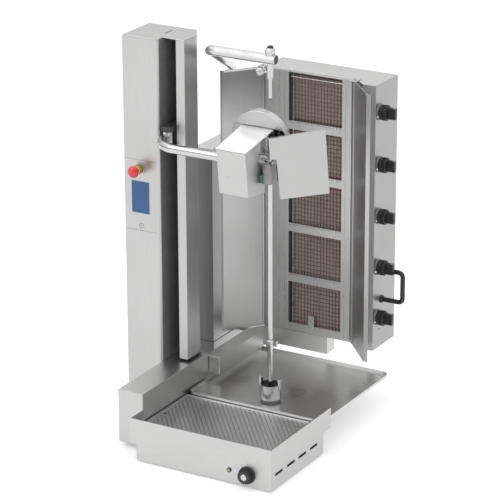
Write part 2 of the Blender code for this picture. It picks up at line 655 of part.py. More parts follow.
# ---- spit ----
def make_spit():
    rod = [(0, SPIT_TOP), (0.004, SPIT_TOP), (SPIT_RADIUS, SPIT_TOP - 0.004), (SPIT_RADIUS, 0.1045),
           (0, 0.1045)]
    rod = turned("spit_rod", rod, POLISHED, 24, Matrix.Translation((SPIT_X, SPIT_Y, 0)))
    move_origin(rod, (SPIT_X, SPIT_Y, PAN_Z))

    bore = SPIT_RADIUS + GAP
    collar = [(bore, 0.276), (0.0105, 0.276), (0.0125, 0.272), (0.0125, 0.256), (bore, 0.256)]
    collar = turned("meat_support", collar, STEEL, 24, Matrix.Translation((SPIT_X, SPIT_Y, 0)))
    for side in (-1, 1):
        low, high = sorted((SPIT_X + side * 0.009, SPIT_X + side * 0.021))
        add_box(collar, (low, SPIT_Y - 0.005, 0.258), (high, SPIT_Y + 0.005, 0.274))
    move_origin(collar, (SPIT_X, SPIT_Y, 0.266))

    cup = [(0, 0.104), (0.0275, 0.104), (0.0275, 0.141), (0.0305, 0.141), (0.0305, 0.099),
           (0.0265, 0.0975), (0.0265, PAN_FLOOR + GAP), (0.009, PAN_FLOOR + GAP), (0.009, 0.083),
           (0.006, 0.083), (0.006, 0.070), (0, 0.070)]
    cup = turned("drive_cup", cup, STEEL, 32, Matrix.Translation((SPIT_X, SPIT_Y, 0)))
    for side in (-1, 1):
        low, high = sorted((SPIT_X + side * 0.0270, SPIT_X + side * 0.0335))
        add_box(cup, (low, SPIT_Y - 0.006, 0.126), (high, SPIT_Y + 0.006, 0.160))
    move_origin(cup, (SPIT_X, SPIT_Y, PAN_Z))

    def gear(name, teeth, x, phase, bore_radius):
        points = [(x + a, SPIT_Y + b) for a, b in gear_outline(teeth, phase)]
        wheel = prism(name, points, "xy", 0.071, 0.079, BRASS)
        cut_round(wheel, (x, SPIT_Y, 0.075), (0, 0, 1), bore_radius, 0.03, 16)
        return move_origin(wheel, (x, SPIT_Y, 0.075))

    centres = GEAR_MODULE * (GEAR_TEETH + PINION_TEETH) / 2
    gear("spit_gear", GEAR_TEETH, SPIT_X, math.pi, 0.006 + GAP)
    pinion_x = SPIT_X - centres
    gear("motor_pinion", PINION_TEETH, pinion_x, math.pi / PINION_TEETH, 0.003 + GAP)
    motor = [(0, 0.0795), (0.003, 0.0795), (0.003, 0.064), (0.020, 0.064), (0.021, 0.063), (0.021, 0.0025),
             (0, 0.0025)]
    turned("spit_motor", motor, DARK, 24, Matrix.Translation((pinion_x, SPIT_Y, 0)))


# ---- rear pillar and upper arm ----
def make_pillar():
    tray_box("pillar_base", (PILLAR_LEFT - 0.022, PILLAR_FRONT, 0.0), (PILLAR_RIGHT, BEAM_REAR, PILLAR_SEAM),
             (0, 0, -1), PLATE, SATIN)
    tray_box("pillar", (PILLAR_LEFT, PILLAR_FRONT, PILLAR_SEAM + GAP),
             (PILLAR_RIGHT, PILLAR_REAR, PILLAR_TOP), (0, 0, -1), PLATE, SATIN)

    corners = [(*POST, PILLAR_TOP + GAP), (*POST, 0.940), (-0.098, UPPER_ARM_Y, UPPER_ARM_Z),
               (0.114, UPPER_ARM_Y, UPPER_ARM_Z)]
    arm = pipe("upper_arm", rounded_path(corners, [0.045, 0.036]), UPPER_ARM_RADIUS, POLISHED, 18)
    pin_axis = (SPIT_X, UPPER_ARM_Y, 0)
    sleeve = [(0, 1.085), (0.0095, 1.085), (0.0095, 1.044), (0.0080, 1.036), (0, 1.036)]
    nut = [(0, 1.1235), (0.0105, 1.1235), (0.0140, 1.117), (0.0140, 1.109), (0.0115, 1.099), (0, 1.099)]
    for profile in (sleeve, nut):
        combine(arm, turned("adder", profile, None, 20, Matrix.Translation(pin_axis)), "UNION")
    cut_round(arm, (SPIT_X, UPPER_ARM_Y, 1.080), (0, 0, 1), PIN_BORE, 0.120, 20)
    move_origin(arm, (*POST, PILLAR_TOP))

    pin = [(0, 1.129), (0.0075, 1.1285), (0.0085, 1.1265), (0.0085, 1.1238), (0.0057, 1.1238),
           (0.0057, 0.982), (0.004, 0.978), (0, 0.978)]
    pin = turned("lock_pin", pin, POLISHED, 16, Matrix.Translation((SPIT_X, UPPER_ARM_Y, 0)))
    move_origin(pin, (SPIT_X, UPPER_ARM_Y, 0.978))

    knob = [(0, 0.036), (0.004, 0.035), (0.005, 0.031), (0.010, 0.029), (0.0140, 0.025), (0.0150, 0.018),
            (0.0120, 0.012), (0.0070, 0.008), (0.0035, 0.006), (0.0035, 0.0), (0, 0.0)]
    at = (SPIT_X - 0.0095, UPPER_ARM_Y, 1.054)
    knob = turned("pin_clamp_knob", knob, POLISHED, 20, facing((-1, 0, 0), at))
    move_origin(knob, at)


# ---- burner housing ----
def make_beams():
    right = BEAM_LEFT + BEAM_WIDTH
    outline = [(BEAM_LEFT, BEAM_FRONT), (right, BEAM_FRONT), (right, BEAM_REAR),
               (PILLAR_RIGHT + GAP, BEAM_REAR), (PILLAR_RIGHT + GAP, BEAM_REAR - BEAM_WIDTH),
               (BEAM_LEFT, BEAM_REAR - BEAM_WIDTH)]
    prism("slide_beam", outline, "xy", BEAM_BOTTOM, BEAM_TOP, SATIN)
    tray_box("cross_beam", (right + 0.004, CROSS_FRONT, BEAM_BOTTOM),
             (CROSS_RIGHT, CROSS_FRONT + BEAM_WIDTH, BEAM_TOP), (-1, 0, 0), PLATE, SATIN)


def make_housing():
    outline = [(HOUSING_LEFT, HOUSING_FRONT), (0.184, HOUSING_FRONT), (0.217, CHEEK_FRONT),
               (HOUSING_RIGHT, CHEEK_FRONT), (HOUSING_RIGHT, HOUSING_BACK), (HOUSING_LEFT, HOUSING_BACK)]
    case = prism("housing_case", outline, "xy", HOUSING_BOTTOM, HOUSING_TOP, STEEL)
    room = inset_outline(outline, PLATE)
    tool = finish_mesh("cutter", prism_mesh(room, "xy", HOUSING_BOTTOM + PLATE, HOUSING_TOP - PLATE), None)
    combine(case, tool, "DIFFERENCE")
    add_box(case, (HOUSING_LEFT + 0.020, HOUSING_BACK - 0.001, HOUSING_BOTTOM + 0.025),
            (HOUSING_RIGHT - 0.020, HOUSING_BACK + COVER_THICK, HOUSING_TOP - 0.025))
    cut_box(case, (WINDOW_LEFT, HOUSING_FRONT - 0.01, WINDOW_BOTTOM),
            (WINDOW_RIGHT, HOUSING_FRONT + 0.01, WINDOW_TOP))

    frame = box("burner_frame", (-0.088, HOUSING_FRONT - 0.0055, 0.170), (0.170, HOUSING_FRONT - GAP, 0.9585),
                STEEL)
    for low, high in windows():
        cut_box(frame, (WINDOW_LEFT, HOUSING_FRONT - 0.02, low), (WINDOW_RIGHT, HOUSING_FRONT + 0.02, high))

    for index, (low, high) in enumerate(windows()):
        top = min(high, BURNER_TOP) + 0.004
        bm = box_mesh((WINDOW_LEFT - 0.004, 0.322, low - 0.004), (WINDOW_RIGHT + 0.004, 0.366, top))
        finish_mesh(f"burner_{index + 1}", bm, CERAMIC)

    pipe("gas_manifold", [Vector((0.205, 0.385, 0.200)), Vector((0.205, 0.385, 0.930))], 0.009, BRASS, 12)


def windows():
    """Bottom and top of each burner's window, lowest first."""
    pitch = (BURNER_TOP - WINDOW_BOTTOM + BAR_HEIGHT) / BURNERS
    tops = [WINDOW_BOTTOM + pitch * (n + 1) - BAR_HEIGHT for n in range(BURNERS - 1)] + [WINDOW_TOP]
    return [(WINDOW_BOTTOM + pitch * n, top) for n, top in enumerate(tops)]


def make_gas_knobs():
    for index in range(BURNERS):
        z = KNOB_BOTTOM_Z + KNOB_PITCH * index
        at = (HOUSING_RIGHT + GAP, KNOB_Y, z)
        skirt = [(0, 0.0270), (0.0190, 0.0270), (0.0208, 0.0255), (0.0215, 0.0120), (0.0222, 0.0110),
                 (0.0222, 0.0060), (0.0195, 0.0050), (0.0195, 0.0), (0, 0.0)]
        knob = turned(f"gas_knob_{index + 1}", skirt, BLACK, 24, facing((1, 0, 0), at))
        add_box(knob, (HOUSING_RIGHT + 0.015, KNOB_Y - 0.006, z - 0.0160),
                (HOUSING_RIGHT + KNOB_REACH, KNOB_Y + 0.006, z + 0.0160))
        move_origin(knob, at)


def make_handle():
    corners = [(HOUSING_RIGHT + GAP, HANDLE_Y, HANDLE_HIGH), (HANDLE_OUT, HANDLE_Y, HANDLE_HIGH),
               (HANDLE_OUT, HANDLE_Y, HANDLE_LOW), (HOUSING_RIGHT + GAP, HANDLE_Y, HANDLE_LOW)]
    pipe("pull_handle", rounded_path(corners, [0.013, 0.013], 5), HANDLE_RADIUS, BLACK, 14)


def make_wing(name, hinge, tip, lip):
    """A heat shield hinged on an upright axis, with a lip folded out along its free edge."""
    start = Vector(hinge)
    end = Vector(tip)
    along = (end - start).normalized()
    outward = Vector((-along.y, along.x)) * math.copysign(WING_THICK, lip)
    inner_tip = end - outward / 2
    fold = (abs(outward.y) - WING_THICK) / along.y
    outline = [start - outward / 2, inner_tip, inner_tip + Vector((lip, 0)),
               inner_tip + Vector((lip, WING_THICK)), end + outward / 2 - along * fold, start + outward / 2]
    wing = prism(name, outline, "xy", WING_BOTTOM, WING_TOP, STEEL)
    rod = [(0, WING_TOP - 0.002), (KNUCKLE, WING_TOP - 0.002), (KNUCKLE, WING_BOTTOM + 0.002),
           (0, WING_BOTTOM + 0.002)]
    combine(wing, turned("adder", rod, None, 12, Matrix.Translation((*hinge, 0))), "UNION")
    move_origin(wing, (*hinge, WING_BOTTOM))


def main():
    clear_scene()
    make_base()
    make_trays()
    make_front_controls()
    make_column()
    make_column_controls()
    make_lift()
    make_arm()
    make_head()
    make_blade()
    make_deflector()
    make_spit()
    make_pillar()
    make_beams()
    make_housing()
    make_gas_knobs()
    make_handle()
    make_wing("left_wing", LEFT_HINGE, LEFT_TIP, -0.007)
    make_wing("right_wing", RIGHT_HINGE, RIGHT_TIP, 0.012)


main()
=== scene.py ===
"""Looks for the vertical rotisserie oven: materials, small parts, floor, light and camera."""

import json
import math

import bmesh
import bpy
from mathutils import Matrix, Vector


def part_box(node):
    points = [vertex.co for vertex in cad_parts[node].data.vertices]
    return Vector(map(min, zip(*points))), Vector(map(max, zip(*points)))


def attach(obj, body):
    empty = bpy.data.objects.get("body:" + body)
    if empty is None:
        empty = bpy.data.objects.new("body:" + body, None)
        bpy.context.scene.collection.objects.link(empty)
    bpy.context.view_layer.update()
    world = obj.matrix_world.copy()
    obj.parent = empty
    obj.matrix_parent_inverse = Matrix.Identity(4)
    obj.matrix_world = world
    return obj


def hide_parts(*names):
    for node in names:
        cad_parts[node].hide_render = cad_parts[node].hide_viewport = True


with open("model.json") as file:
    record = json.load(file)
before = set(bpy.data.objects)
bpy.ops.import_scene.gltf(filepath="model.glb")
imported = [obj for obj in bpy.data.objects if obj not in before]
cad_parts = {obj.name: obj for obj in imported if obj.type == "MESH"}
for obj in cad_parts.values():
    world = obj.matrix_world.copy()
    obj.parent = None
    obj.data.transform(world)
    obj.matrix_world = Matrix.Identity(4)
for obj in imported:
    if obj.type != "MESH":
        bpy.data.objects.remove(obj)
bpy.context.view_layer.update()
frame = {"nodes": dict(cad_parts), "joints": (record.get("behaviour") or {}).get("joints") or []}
NODES = frame["nodes"]

# ---- camera, solved once for the photograph's viewing angle ----
CAMERA_AT = (3.459, -5.952, 3.001)
CAMERA_AZIMUTH = math.radians(30.05)
CAMERA_ELEVATION = math.radians(19.84)
CAMERA_ROLL = math.radians(-0.18)
CAMERA_LENS = 187.8
CAMERA_SENSOR = 36.0

# ---- how squarely a face must look along an axis to be painted apart ----
SQUARE = 0.9
LEANING = 0.5
SLANTED = 0.3

# ---- sizes of the small parts, in metres unless an angle or a count ----
TRAY_EDGE = 0.002
TRAY_SHEET = 0.0010
TRAY_DROP = 0.0016
HOLE_STEP_X = 0.0152
HOLE_STEP_Y = 0.0096
HOLE_RADIUS = 0.0026
HOLE_START = 0.013
HOLE_END = 0.010
LIFT_HOLE_INSET = 0.0155
LIFT_HOLE_RADIUS = 0.0058
LIFT_HOLE_LAND = 0.011
DIAL_TICKS = 9
DIAL_START_DEGREES = 225
DIAL_STEP_DEGREES = 33.75
DIAL_RIDGES = 20
DIAL_CAP_RADIUS = 0.0088
LAMP_LENS_RADIUS = 0.0048
COLUMN_JOINTS = (0.765, 0.557)
START_MARK_INSET = 0.054
START_MARK_Z = 0.571
SCREEN_RIM = 0.0012
COVER_INSET = 0.040
COVER_LOW = 0.060
COVER_HIGH = 1.090
COVER_SHEET = 0.0012
COVER_STAND = 0.0015
LOUVRE_COUNT = 9
LOUVRE_STEP = 0.014
LOUVRE_STARTS = (0.900, 0.220)
LOUVRE_LONG = 0.090
LOUVRE_WIDE = 0.005
GUARD_RIM_RADIUS = 0.0865
GUARD_RIM_THICK = 0.0013
STUD_COUNT = 5
STUD_STEP = 0.0112
BURNERS = range(1, 6)
MESH_GAP = 0.0035
MESH_STEP_X = 0.0104
MESH_STEP_Z = 0.0122
WIRE_THICK_UPRIGHT = 0.0010
WIRE_THICK_CROSS = 0.0008
TOP_WIRE_Z = 0.9405
TOP_GAUZE_Z = 0.943
KNOB_RIBS = 22
FIN_MIDDLES = (-0.3565, -0.2900, -0.2255, -0.1610)
FIN_Z = 0.0470
FIN_HALF = 0.0206
FIN_TILT = 0.55


# ---- node helpers ----
def new_material(name):
    mat = bpy.data.materials.new(name)
    mat.use_nodes = True
    tree = mat.node_tree
    shader = tree.nodes["Principled BSDF"]
    return mat, tree, shader


def add(tree, kind, **values):
    """A node with its sockets set by name; a name that is a property of the node is set as one."""
    node = tree.nodes.new(kind)
    for key, value in values.items():
        if key in node.inputs:
            node.inputs[key].default_value = value
        else:
            setattr(node, key, value)
    return node


def grained_noise(tree, scale, detail=4.0, rough=0.55):
    """Noise stretched by a different scale along each axis of the object."""
    where = add(tree, "ShaderNodeTexCoord")
    stretch = add(tree, "ShaderNodeMapping", Scale=scale)
    noise = add(tree, "ShaderNodeTexNoise", Scale=1.0, Detail=detail, Roughness=rough)
    tree.links.new(where.outputs["Object"], stretch.inputs["Vector"])
    tree.links.new(stretch.outputs["Vector"], noise.inputs["Vector"])
    return noise.outputs["Fac"]


def spread(tree, value, low, high, start=0.3, end=0.7):
    """Map a 0 to 1 value to a range."""
    node = add(tree, "ShaderNodeMapRange")
    node.inputs["From Min"].default_value = start
    node.inputs["From Max"].default_value = end
    node.inputs["To Min"].default_value = low
    node.inputs["To Max"].default_value = high
    tree.links.new(value, node.inputs["Value"])
    return node.outputs["Result"]


def blend_colours(tree, value, dark, light):
    mix = add(tree, "ShaderNodeMix", data_type="RGBA")
    mix.inputs[6].default_value = (*dark, 1)
    mix.inputs[7].default_value = (*light, 1)
    tree.links.new(value, mix.inputs[0])
    return mix.outputs[2]


def product(tree, one, two):
    node = add(tree, "ShaderNodeMath", operation="MULTIPLY")
    tree.links.new(one, node.inputs[0])
    tree.links.new(two, node.inputs[1])
    return node.outputs[0]


def bump(tree, shader, value, strength, distance):
    node = add(tree, "ShaderNodeBump", Strength=strength, Distance=distance)
    tree.links.new(value, node.inputs["Height"])
    tree.links.new(node.outputs["Normal"], shader.inputs["Normal"])


GRAIN = {"x": (9.0, 900.0, 900.0), "y": (900.0, 9.0, 900.0), "z": (900.0, 900.0, 9.0)}


def brushed_metal(name, tone, roughness, grain, streak=0.07, smudge=0.05):
    """Brushed sheet: fine streaks along one axis in tone and gloss, with slow clouds in gloss."""
    mat, tree, shader = new_material(name)
    streaks = grained_noise(tree, GRAIN[grain], 6.0, 0.7)
    clouds = grained_noise(tree, (5.0, 5.0, 5.0), 3.0, 0.5)
    dark = tuple(c * (1 - streak) for c in tone)
    light = tuple(min(c * (1 + streak), 1.0) for c in tone)
    base = blend_colours(tree, spread(tree, streaks, 0.0, 1.0), dark, light)
    tree.links.new(base, shader.inputs["Base Color"])
    gloss = spread(tree, clouds, 1.0 - 2 * smudge, 1.0 + 2 * smudge)
    fine = spread(tree, streaks, roughness * 0.88, roughness * 1.12)
    tree.links.new(product(tree, gloss, fine), shader.inputs["Roughness"])
    shader.inputs["Metallic"].default_value = 1.0
    bump(tree, shader, streaks, 0.12, 0.0002)
    return mat


def steel_painted_shade(name, low, high, dark, light, roughness):
    """Brushed sheet painted darker towards the top as shade, plain lower down."""
    mat = brushed_metal(name, light, roughness, "z", 0.06, 0.05)
    tree = mat.node_tree
    shader = tree.nodes["Principled BSDF"]
    where = add(tree, "ShaderNodeTexCoord")
    parts = add(tree, "ShaderNodeSeparateXYZ")
    tree.links.new(where.outputs["Object"], parts.inputs[0])
    # The tint darkens the steel towards the top: painted shade.
    share = spread(tree, parts.outputs["Z"], 0.0, 1.0, low, high)
    shade_tint = blend_colours(tree, share, dark, (1.0, 1.0, 1.0))
    mix = add(tree, "ShaderNodeMix", data_type="RGBA", blend_type="MULTIPLY")
    mix.inputs[0].default_value = 1.0
    tree.links.new(shader.inputs["Base Color"].links[0].from_socket, mix.inputs[6])
    tree.links.new(shade_tint, mix.inputs[7])
    tree.links.new(mix.outputs[2], shader.inputs["Base Color"])
    return mat


def polished_metal(name, tone, roughness):
    mat, tree, shader = new_material(name)
    clouds = grained_noise(tree, (22.0, 22.0, 22.0), 5.0, 0.6)
    scratches = grained_noise(tree, (700.0, 60.0, 700.0), 3.0, 0.6)
    base = blend_colours(tree, spread(tree, clouds, 0.0, 1.0), tuple(c * 0.94 for c in tone), tone)
    tree.links.new(base, shader.inputs["Base Color"])
    gloss = spread(tree, clouds, roughness * 0.7, roughness * 1.3)
    tree.links.new(gloss, shader.inputs["Roughness"])
    shader.inputs["Metallic"].default_value = 1.0
    bump(tree, shader, scratches, 0.05, 0.0001)
    return mat


def plastic(name, tone, roughness, grain_scale=900.0, strength=0.15, coat=0.0):
    mat, tree, shader = new_material(name)
    pits = grained_noise(tree, (grain_scale,) * 3, 4.0, 0.6)
    clouds = grained_noise(tree, (30.0, 30.0, 30.0), 3.0, 0.5)
    light = tuple(min(c * 1.25 + 0.004, 1.0) for c in tone)
    base = blend_colours(tree, spread(tree, clouds, 0.0, 1.0), tone, light)
    tree.links.new(base, shader.inputs["Base Color"])
    tree.links.new(spread(tree, pits, roughness * 0.85, roughness * 1.15), shader.inputs["Roughness"])
    shader.inputs["Coat Weight"].default_value = coat
    shader.inputs["Coat Roughness"].default_value = 0.08
    bump(tree, shader, pits, strength, 0.0002)
    return mat


def ceramic_tile(name):
    """Fired radiant tile: small drilled pores, painted dark as shade, in a pinkish brown body."""
    mat, tree, shader = new_material(name)
    where = add(tree, "ShaderNodeTexCoord")
    cells = add(tree, "ShaderNodeTexVoronoi", Scale=330.0, Randomness=0.25)
    tree.links.new(where.outputs["Object"], cells.inputs["Vector"])
    pores = spread(tree, cells.outputs["Distance"], 0.0, 1.0, 0.12, 0.34)
    clouds = grained_noise(tree, (14.0, 14.0, 9.0), 4.0, 0.6)
    dark, light = (0.300, 0.228, 0.226), (0.400, 0.330, 0.318)
    body = blend_colours(tree, spread(tree, clouds, 0.0, 1.0), dark, light)
    # The pores get a near black colour: painted shade in the holes.
    mix = add(tree, "ShaderNodeMix", data_type="RGBA")
    mix.inputs[6].default_value = (0.110, 0.080, 0.082, 1)
    tree.links.new(body, mix.inputs[7])
    tree.links.new(pores, mix.inputs[0])
    tree.links.new(mix.outputs[2], shader.inputs["Base Color"])
    shader.inputs["Roughness"].default_value = 0.85
    bump(tree, shader, pores, 0.5, 0.001)
    return mat


def display_face(name):
    """Blue display with a faint glow and a soft light to dark change."""
    mat, tree, shader = new_material(name)
    clouds = grained_noise(tree, (3.0, 3.0, 8.0), 1.0, 0.4)
    dark, light = (0.010, 0.058, 0.160), (0.014, 0.082, 0.215)
    base = blend_colours(tree, spread(tree, clouds, 0.0, 1.0), dark, light)
    tree.links.new(base, shader.inputs["Base Color"])
    tree.links.new(base, shader.inputs["Emission Color"])
    shader.inputs["Emission Strength"].default_value = 0.25
    shader.inputs["Roughness"].default_value = 0.22
    return mat


STEEL = {
    "z": brushed_metal("steel upright grain", (0.515, 0.515, 0.512), 0.40, "z"),
    "x": brushed_metal("steel cross grain", (0.560, 0.560, 0.556), 0.42, "x"),
    "y": brushed_metal("steel depth grain", (0.540, 0.540, 0.536), 0.38, "y"),
}
# A darker copy of the steel for the housing's sides: painted shade.
SHADED_FLANK_STEEL = brushed_metal("housing flank, painted shade", (0.390, 0.390, 0.387), 0.42, "z")
# Darker steel: the colour of the rivets, fold lines, blade spots and gas inlet, and painted shade on the
# right wing.
GREY_STEEL_AND_SHADE = brushed_metal("grey steel and painted shade", (0.40, 0.40, 0.40), 0.34, "z", 0.09, 0.08)
PAN = brushed_metal("pan steel", (0.64, 0.64, 0.635), 0.30, "x", 0.05, 0.10)
TRAY = brushed_metal("tray steel", (0.62, 0.62, 0.62), 0.36, "x", 0.05, 0.08)
# A darker copy of the steel for the well under the perforated tray: painted shade.
SHADED_WELL_STEEL = brushed_metal("well, painted shade", (0.42, 0.42, 0.42), 0.34, "y", 0.07, 0.08)
BEAM = brushed_metal("beam steel", (0.60, 0.60, 0.595), 0.36, "y", 0.06, 0.06)
# Near black steel for faces painted with shade and a dark reflection.
PAINTED_SHADE_STEEL = brushed_metal("steel painted as shade", (0.150, 0.150, 0.150), 0.36, "z", 0.08, 0.06)
# The left wing's steel is painted darker towards its top: painted shade.
WING = steel_painted_shade("wing with painted shade", 0.93, 0.80, (0.48, 0.48, 0.48), (0.50, 0.50, 0.497), 0.38)
CHROME = polished_metal("satin bar steel", (0.56, 0.56, 0.56), 0.20)
BRIGHT = polished_metal("bright steel", (0.56, 0.56, 0.56), 0.28)
# Near white steel: a painted sheen for the head's lid and the beam's tabs.
SHEEN_WHITE_STEEL = polished_metal("near white steel, painted sheen", (0.96, 0.96, 0.96), 0.46)
WIRE = polished_metal("oxidised wire", (0.150, 0.130, 0.128), 0.5)
GAUZE = polished_metal("dark gauze", (0.12, 0.115, 0.115), 0.55)
# Dark grey for the seams and the guard's fold, and painted shadow on the drive cup's foot.
JOINT_SHADOW = plastic("seam shadow", (0.120, 0.120, 0.120), 0.6, 500.0, 0.05)
SEAM_DARK = plastic("dark seam", (0.030, 0.030, 0.031), 0.6, 500.0, 0.05)
RED_DARK = plastic("dark red print", (0.230, 0.008, 0.008), 0.4, 900.0, 0.04)
# Near black: the coating of the motors, the carriage and the arm's end cap, and painted shade on the cabinet
# inside the base.
COAT_AND_PAINTED_SHADE = plastic("coating and painted shade", (0.030, 0.030, 0.031), 0.48, 500.0, 0.12)
SLOT = plastic("slot lining", (0.130, 0.130, 0.132), 0.50, 300.0, 0.08)
BLACK = plastic("black moulding", (0.012, 0.012, 0.013), 0.38, 900.0, 0.20)
RUBBER = plastic("black rubber", (0.014, 0.014, 0.014), 0.75, 400.0, 0.30)
RED = plastic("red moulding", (0.560, 0.016, 0.016), 0.28, 900.0, 0.04, 0.4)
YELLOW = plastic("yellow moulding", (0.600, 0.480, 0.030), 0.35, 900.0, 0.05, 0.2)
LAMP = plastic("lamp lens", (0.300, 0.300, 0.050), 0.18, 300.0, 0.20, 0.5)
MARK = plastic("white print", (0.800, 0.800, 0.790), 0.50, 700.0, 0.02)
GREY_PRINT = plastic("grey print", (0.150, 0.150, 0.155), 0.55, 700.0, 0.02)
LENS_BODY = plastic("camera shell", (0.210, 0.215, 0.210), 0.30, 900.0, 0.05, 0.3)
LENS_GREEN = plastic("camera window", (0.010, 0.100, 0.065), 0.12, 900.0, 0.02, 0.6)
TILE = ceramic_tile("ceramic tile")
SCREEN = display_face("display")
BRASS = polished_metal("brass", (0.62, 0.44, 0.16), 0.3)
BEZEL = plastic("knob bezel", (0.100, 0.100, 0.102), 0.22, 700.0, 0.03, 0.5)
GUARD = brushed_metal("guard steel", (0.46, 0.46, 0.46), 0.34, "x", 0.05, 0.05)


# ---- mesh helpers ----
def middle_of(name):
    """The centre of a CAD node's box."""
    low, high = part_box(name)
    return (low + high) / 2


def finish_mesh(name, bm, mat, body, bevel=0.0, smooth=False):
    bmesh.ops.recalc_face_normals(bm, faces=bm.faces)
    mesh = bpy.data.meshes.new(name)
    bm.to_mesh(mesh)
    bm.free()
    obj = bpy.data.objects.new(name, mesh)
    bpy.context.scene.collection.objects.link(obj)
    mesh.materials.append(mat)
    if smooth:
        mesh.shade_smooth()
        mesh.set_sharp_from_angle(angle=math.radians(38))
    if bevel:
        soften(obj, bevel)
    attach(obj, body)
    return obj


def soften(obj, width, segments=2):
    modifier = obj.modifiers.new("Edges", "BEVEL")
    modifier.width = width
    modifier.segments = segments
    modifier.limit_method = "ANGLE"
    modifier.angle_limit = math.radians(32)
    modifier.harden_normals = False


def box_mesh(low, high):
    bm = bmesh.new()
    bmesh.ops.create_cube(bm, size=1.0)
    size = [high[i] - low[i] for i in range(3)]
    middle = [(high[i] + low[i]) / 2 for i in range(3)]
    bmesh.ops.scale(bm, vec=size, verts=bm.verts)
    bmesh.ops.translate(bm, vec=middle, verts=bm.verts)
    return bm


def bar(name, low, high, mat, body, bevel=0.0006):
    return finish_mesh(name, box_mesh(low, high), mat, body, bevel)


def facing(direction, at):
    aim = Vector(direction).to_track_quat("Z", "Y").to_matrix().to_4x4()
    return Matrix.Translation(at) @ aim


def turned_mesh(profile, segments, place):
    """Revolve (radius, height) points about Z."""
    bm = bmesh.new()
    rings = []
    for radius, height in profile:
        if radius == 0:
            rings.append([bm.verts.new((0, 0, height))])
            continue
        angles = [2 * math.pi * k / segments for k in range(segments)]
        rings.append([bm.verts.new((radius * math.cos(a), radius * math.sin(a), height))
                      for a in angles])
    pairs = list(zip(rings, rings[1:]))
    if profile[0][0] > 0:
        pairs.append((rings[-1], rings[0]))
    for upper, lower in pairs:
        for k in range(segments):
            corners = [ring[(k + step) % len(ring)] for ring, step in
                       ((upper, 0), (upper, 1), (lower, 1), (lower, 0))]
            unique = list(dict.fromkeys(corners))
            if len(unique) > 2:
                bm.faces.new(unique)
    bm.transform(place)
    return bm


def turned(name, profile, mat, body, place, segments=40, smooth=True):
    return finish_mesh(name, turned_mesh(profile, segments, place), mat, body, 0.0, smooth)


def merge(parts):
    """One bmesh out of several."""
    whole = bmesh.new()
    for part in parts:
        mesh = bpy.data.meshes.new("part")
        part.to_mesh(mesh)
        part.free()
        whole.from_mesh(mesh)
        bpy.data.meshes.remove(mesh)
    return whole


def tube_mesh(route, radius, sides=12):
    bm = bmesh.new()
    rings = []
    side = None
    for index, point in enumerate(route):
        before = route[max(index - 1, 0)]
        after = route[min(index + 1, len(route) - 1)]
        tangent = (after - before).normalized()
        if side is None:
            side = tangent.orthogonal().normalized()
        else:
            side = (side - tangent * side.dot(tangent)).normalized()
        other = tangent.cross(side)
        angles = [2 * math.pi * k / sides for k in range(sides)]
        rings.append([bm.verts.new(point + radius * (side * math.cos(a) + other * math.sin(a)))
                      for a in angles])
    for one, two in zip(rings, rings[1:]):
        for k in range(sides):
            bm.faces.new((one[k], one[(k + 1) % sides], two[(k + 1) % sides], two[k]))
    bm.faces.new(rings[0])
    bm.faces.new(rings[-1])
    return bm


def screw_mesh(at, direction, radius):
    """Domed screw head with a hexagon socket."""
    socket = radius * 0.45
    profile = [(0, radius * 0.20), (socket * 0.9, radius * 0.20), (socket, radius * 0.55),
               (radius * 0.85, radius * 0.42), (radius, radius * 0.12), (radius, 0), (0, 0)]
    return turned_mesh(profile, 18, facing(direction, at))


def paint(mat, *names, bevel=0.0):
    """Give CAD nodes a material; a bevel first welds the vertices that the import split."""
    for name in names:
        obj = NODES[name]
        obj.data.materials.clear()
        obj.data.materials.append(mat)
        if bevel:
            weld = obj.modifiers.new("Weld", "WELD")
            weld.merge_threshold = 0.00001
            soften(obj, bevel)
            evened = obj.modifiers.new("Normals", "WEIGHTED_NORMAL")
            evened.keep_sharp = True
            evened.weight = 80


def paint_faces(name, mat, chosen):
    """A second finish on the CAD faces for which chosen(centre, normal) holds."""
    obj = NODES[name]
    obj.data.materials.append(mat)
    index = len(obj.data.materials) - 1
    for face in obj.data.polygons:
        if chosen(face.center, face.normal):
            face.material_index = index


def joint_at(name):
    """Where a joint sits, and along what it turns or slides."""
    found = [joint for joint in frame["joints"] if joint["name"] == name][0]
    return Vector(found["pos_m"]), Vector(found["axis"]).normalized()


def plate_mesh(outline, holes, z, thickness):
    """A flat sheet in XY with real holes through it, its top at z."""
    bm = bmesh.new()
    for loop in [outline] + holes:
        verts = [bm.verts.new((x, y, z)) for x, y in loop]
        for one, two in zip(verts, verts[1:] + verts[:1]):
            bm.edges.new((one, two))
    bmesh.ops.triangle_fill(bm, edges=bm.edges, use_beauty=True, normal=(0, 0, 1))
    made = bmesh.ops.extrude_face_region(bm, geom=list(bm.faces))
    moved = [item for item in made["geom"] if isinstance(item, bmesh.types.BMVert)]
    bmesh.ops.translate(bm, vec=(0, 0, -thickness), verts=moved)
    return bm


def circle(x, y, radius, steps=10):
    turns = [2 * math.pi * (k + 0.5) / steps for k in range(steps)]
    return [(x + radius * math.cos(a), y + radius * math.sin(a)) for a in turns]


def slot_loop(x, y, long, wide, steps=5):
    """A round-ended slot, long along X."""
    half = (long - wide) / 2
    loop = []
    for side, start in ((1, -math.pi / 2), (-1, math.pi / 2)):
        for k in range(steps + 1):
            angle = start + math.pi * k / steps
            loop.append((x + side * half + wide / 2 * math.cos(angle), y + wide / 2 * math.sin(angle)))
    return loop


def screws(name, spots, direction, radius, mat, body):
    parts = [screw_mesh(spot, direction, radius) for spot in spots]
    return finish_mesh(name, merge(parts), mat, body, 0.0, True)


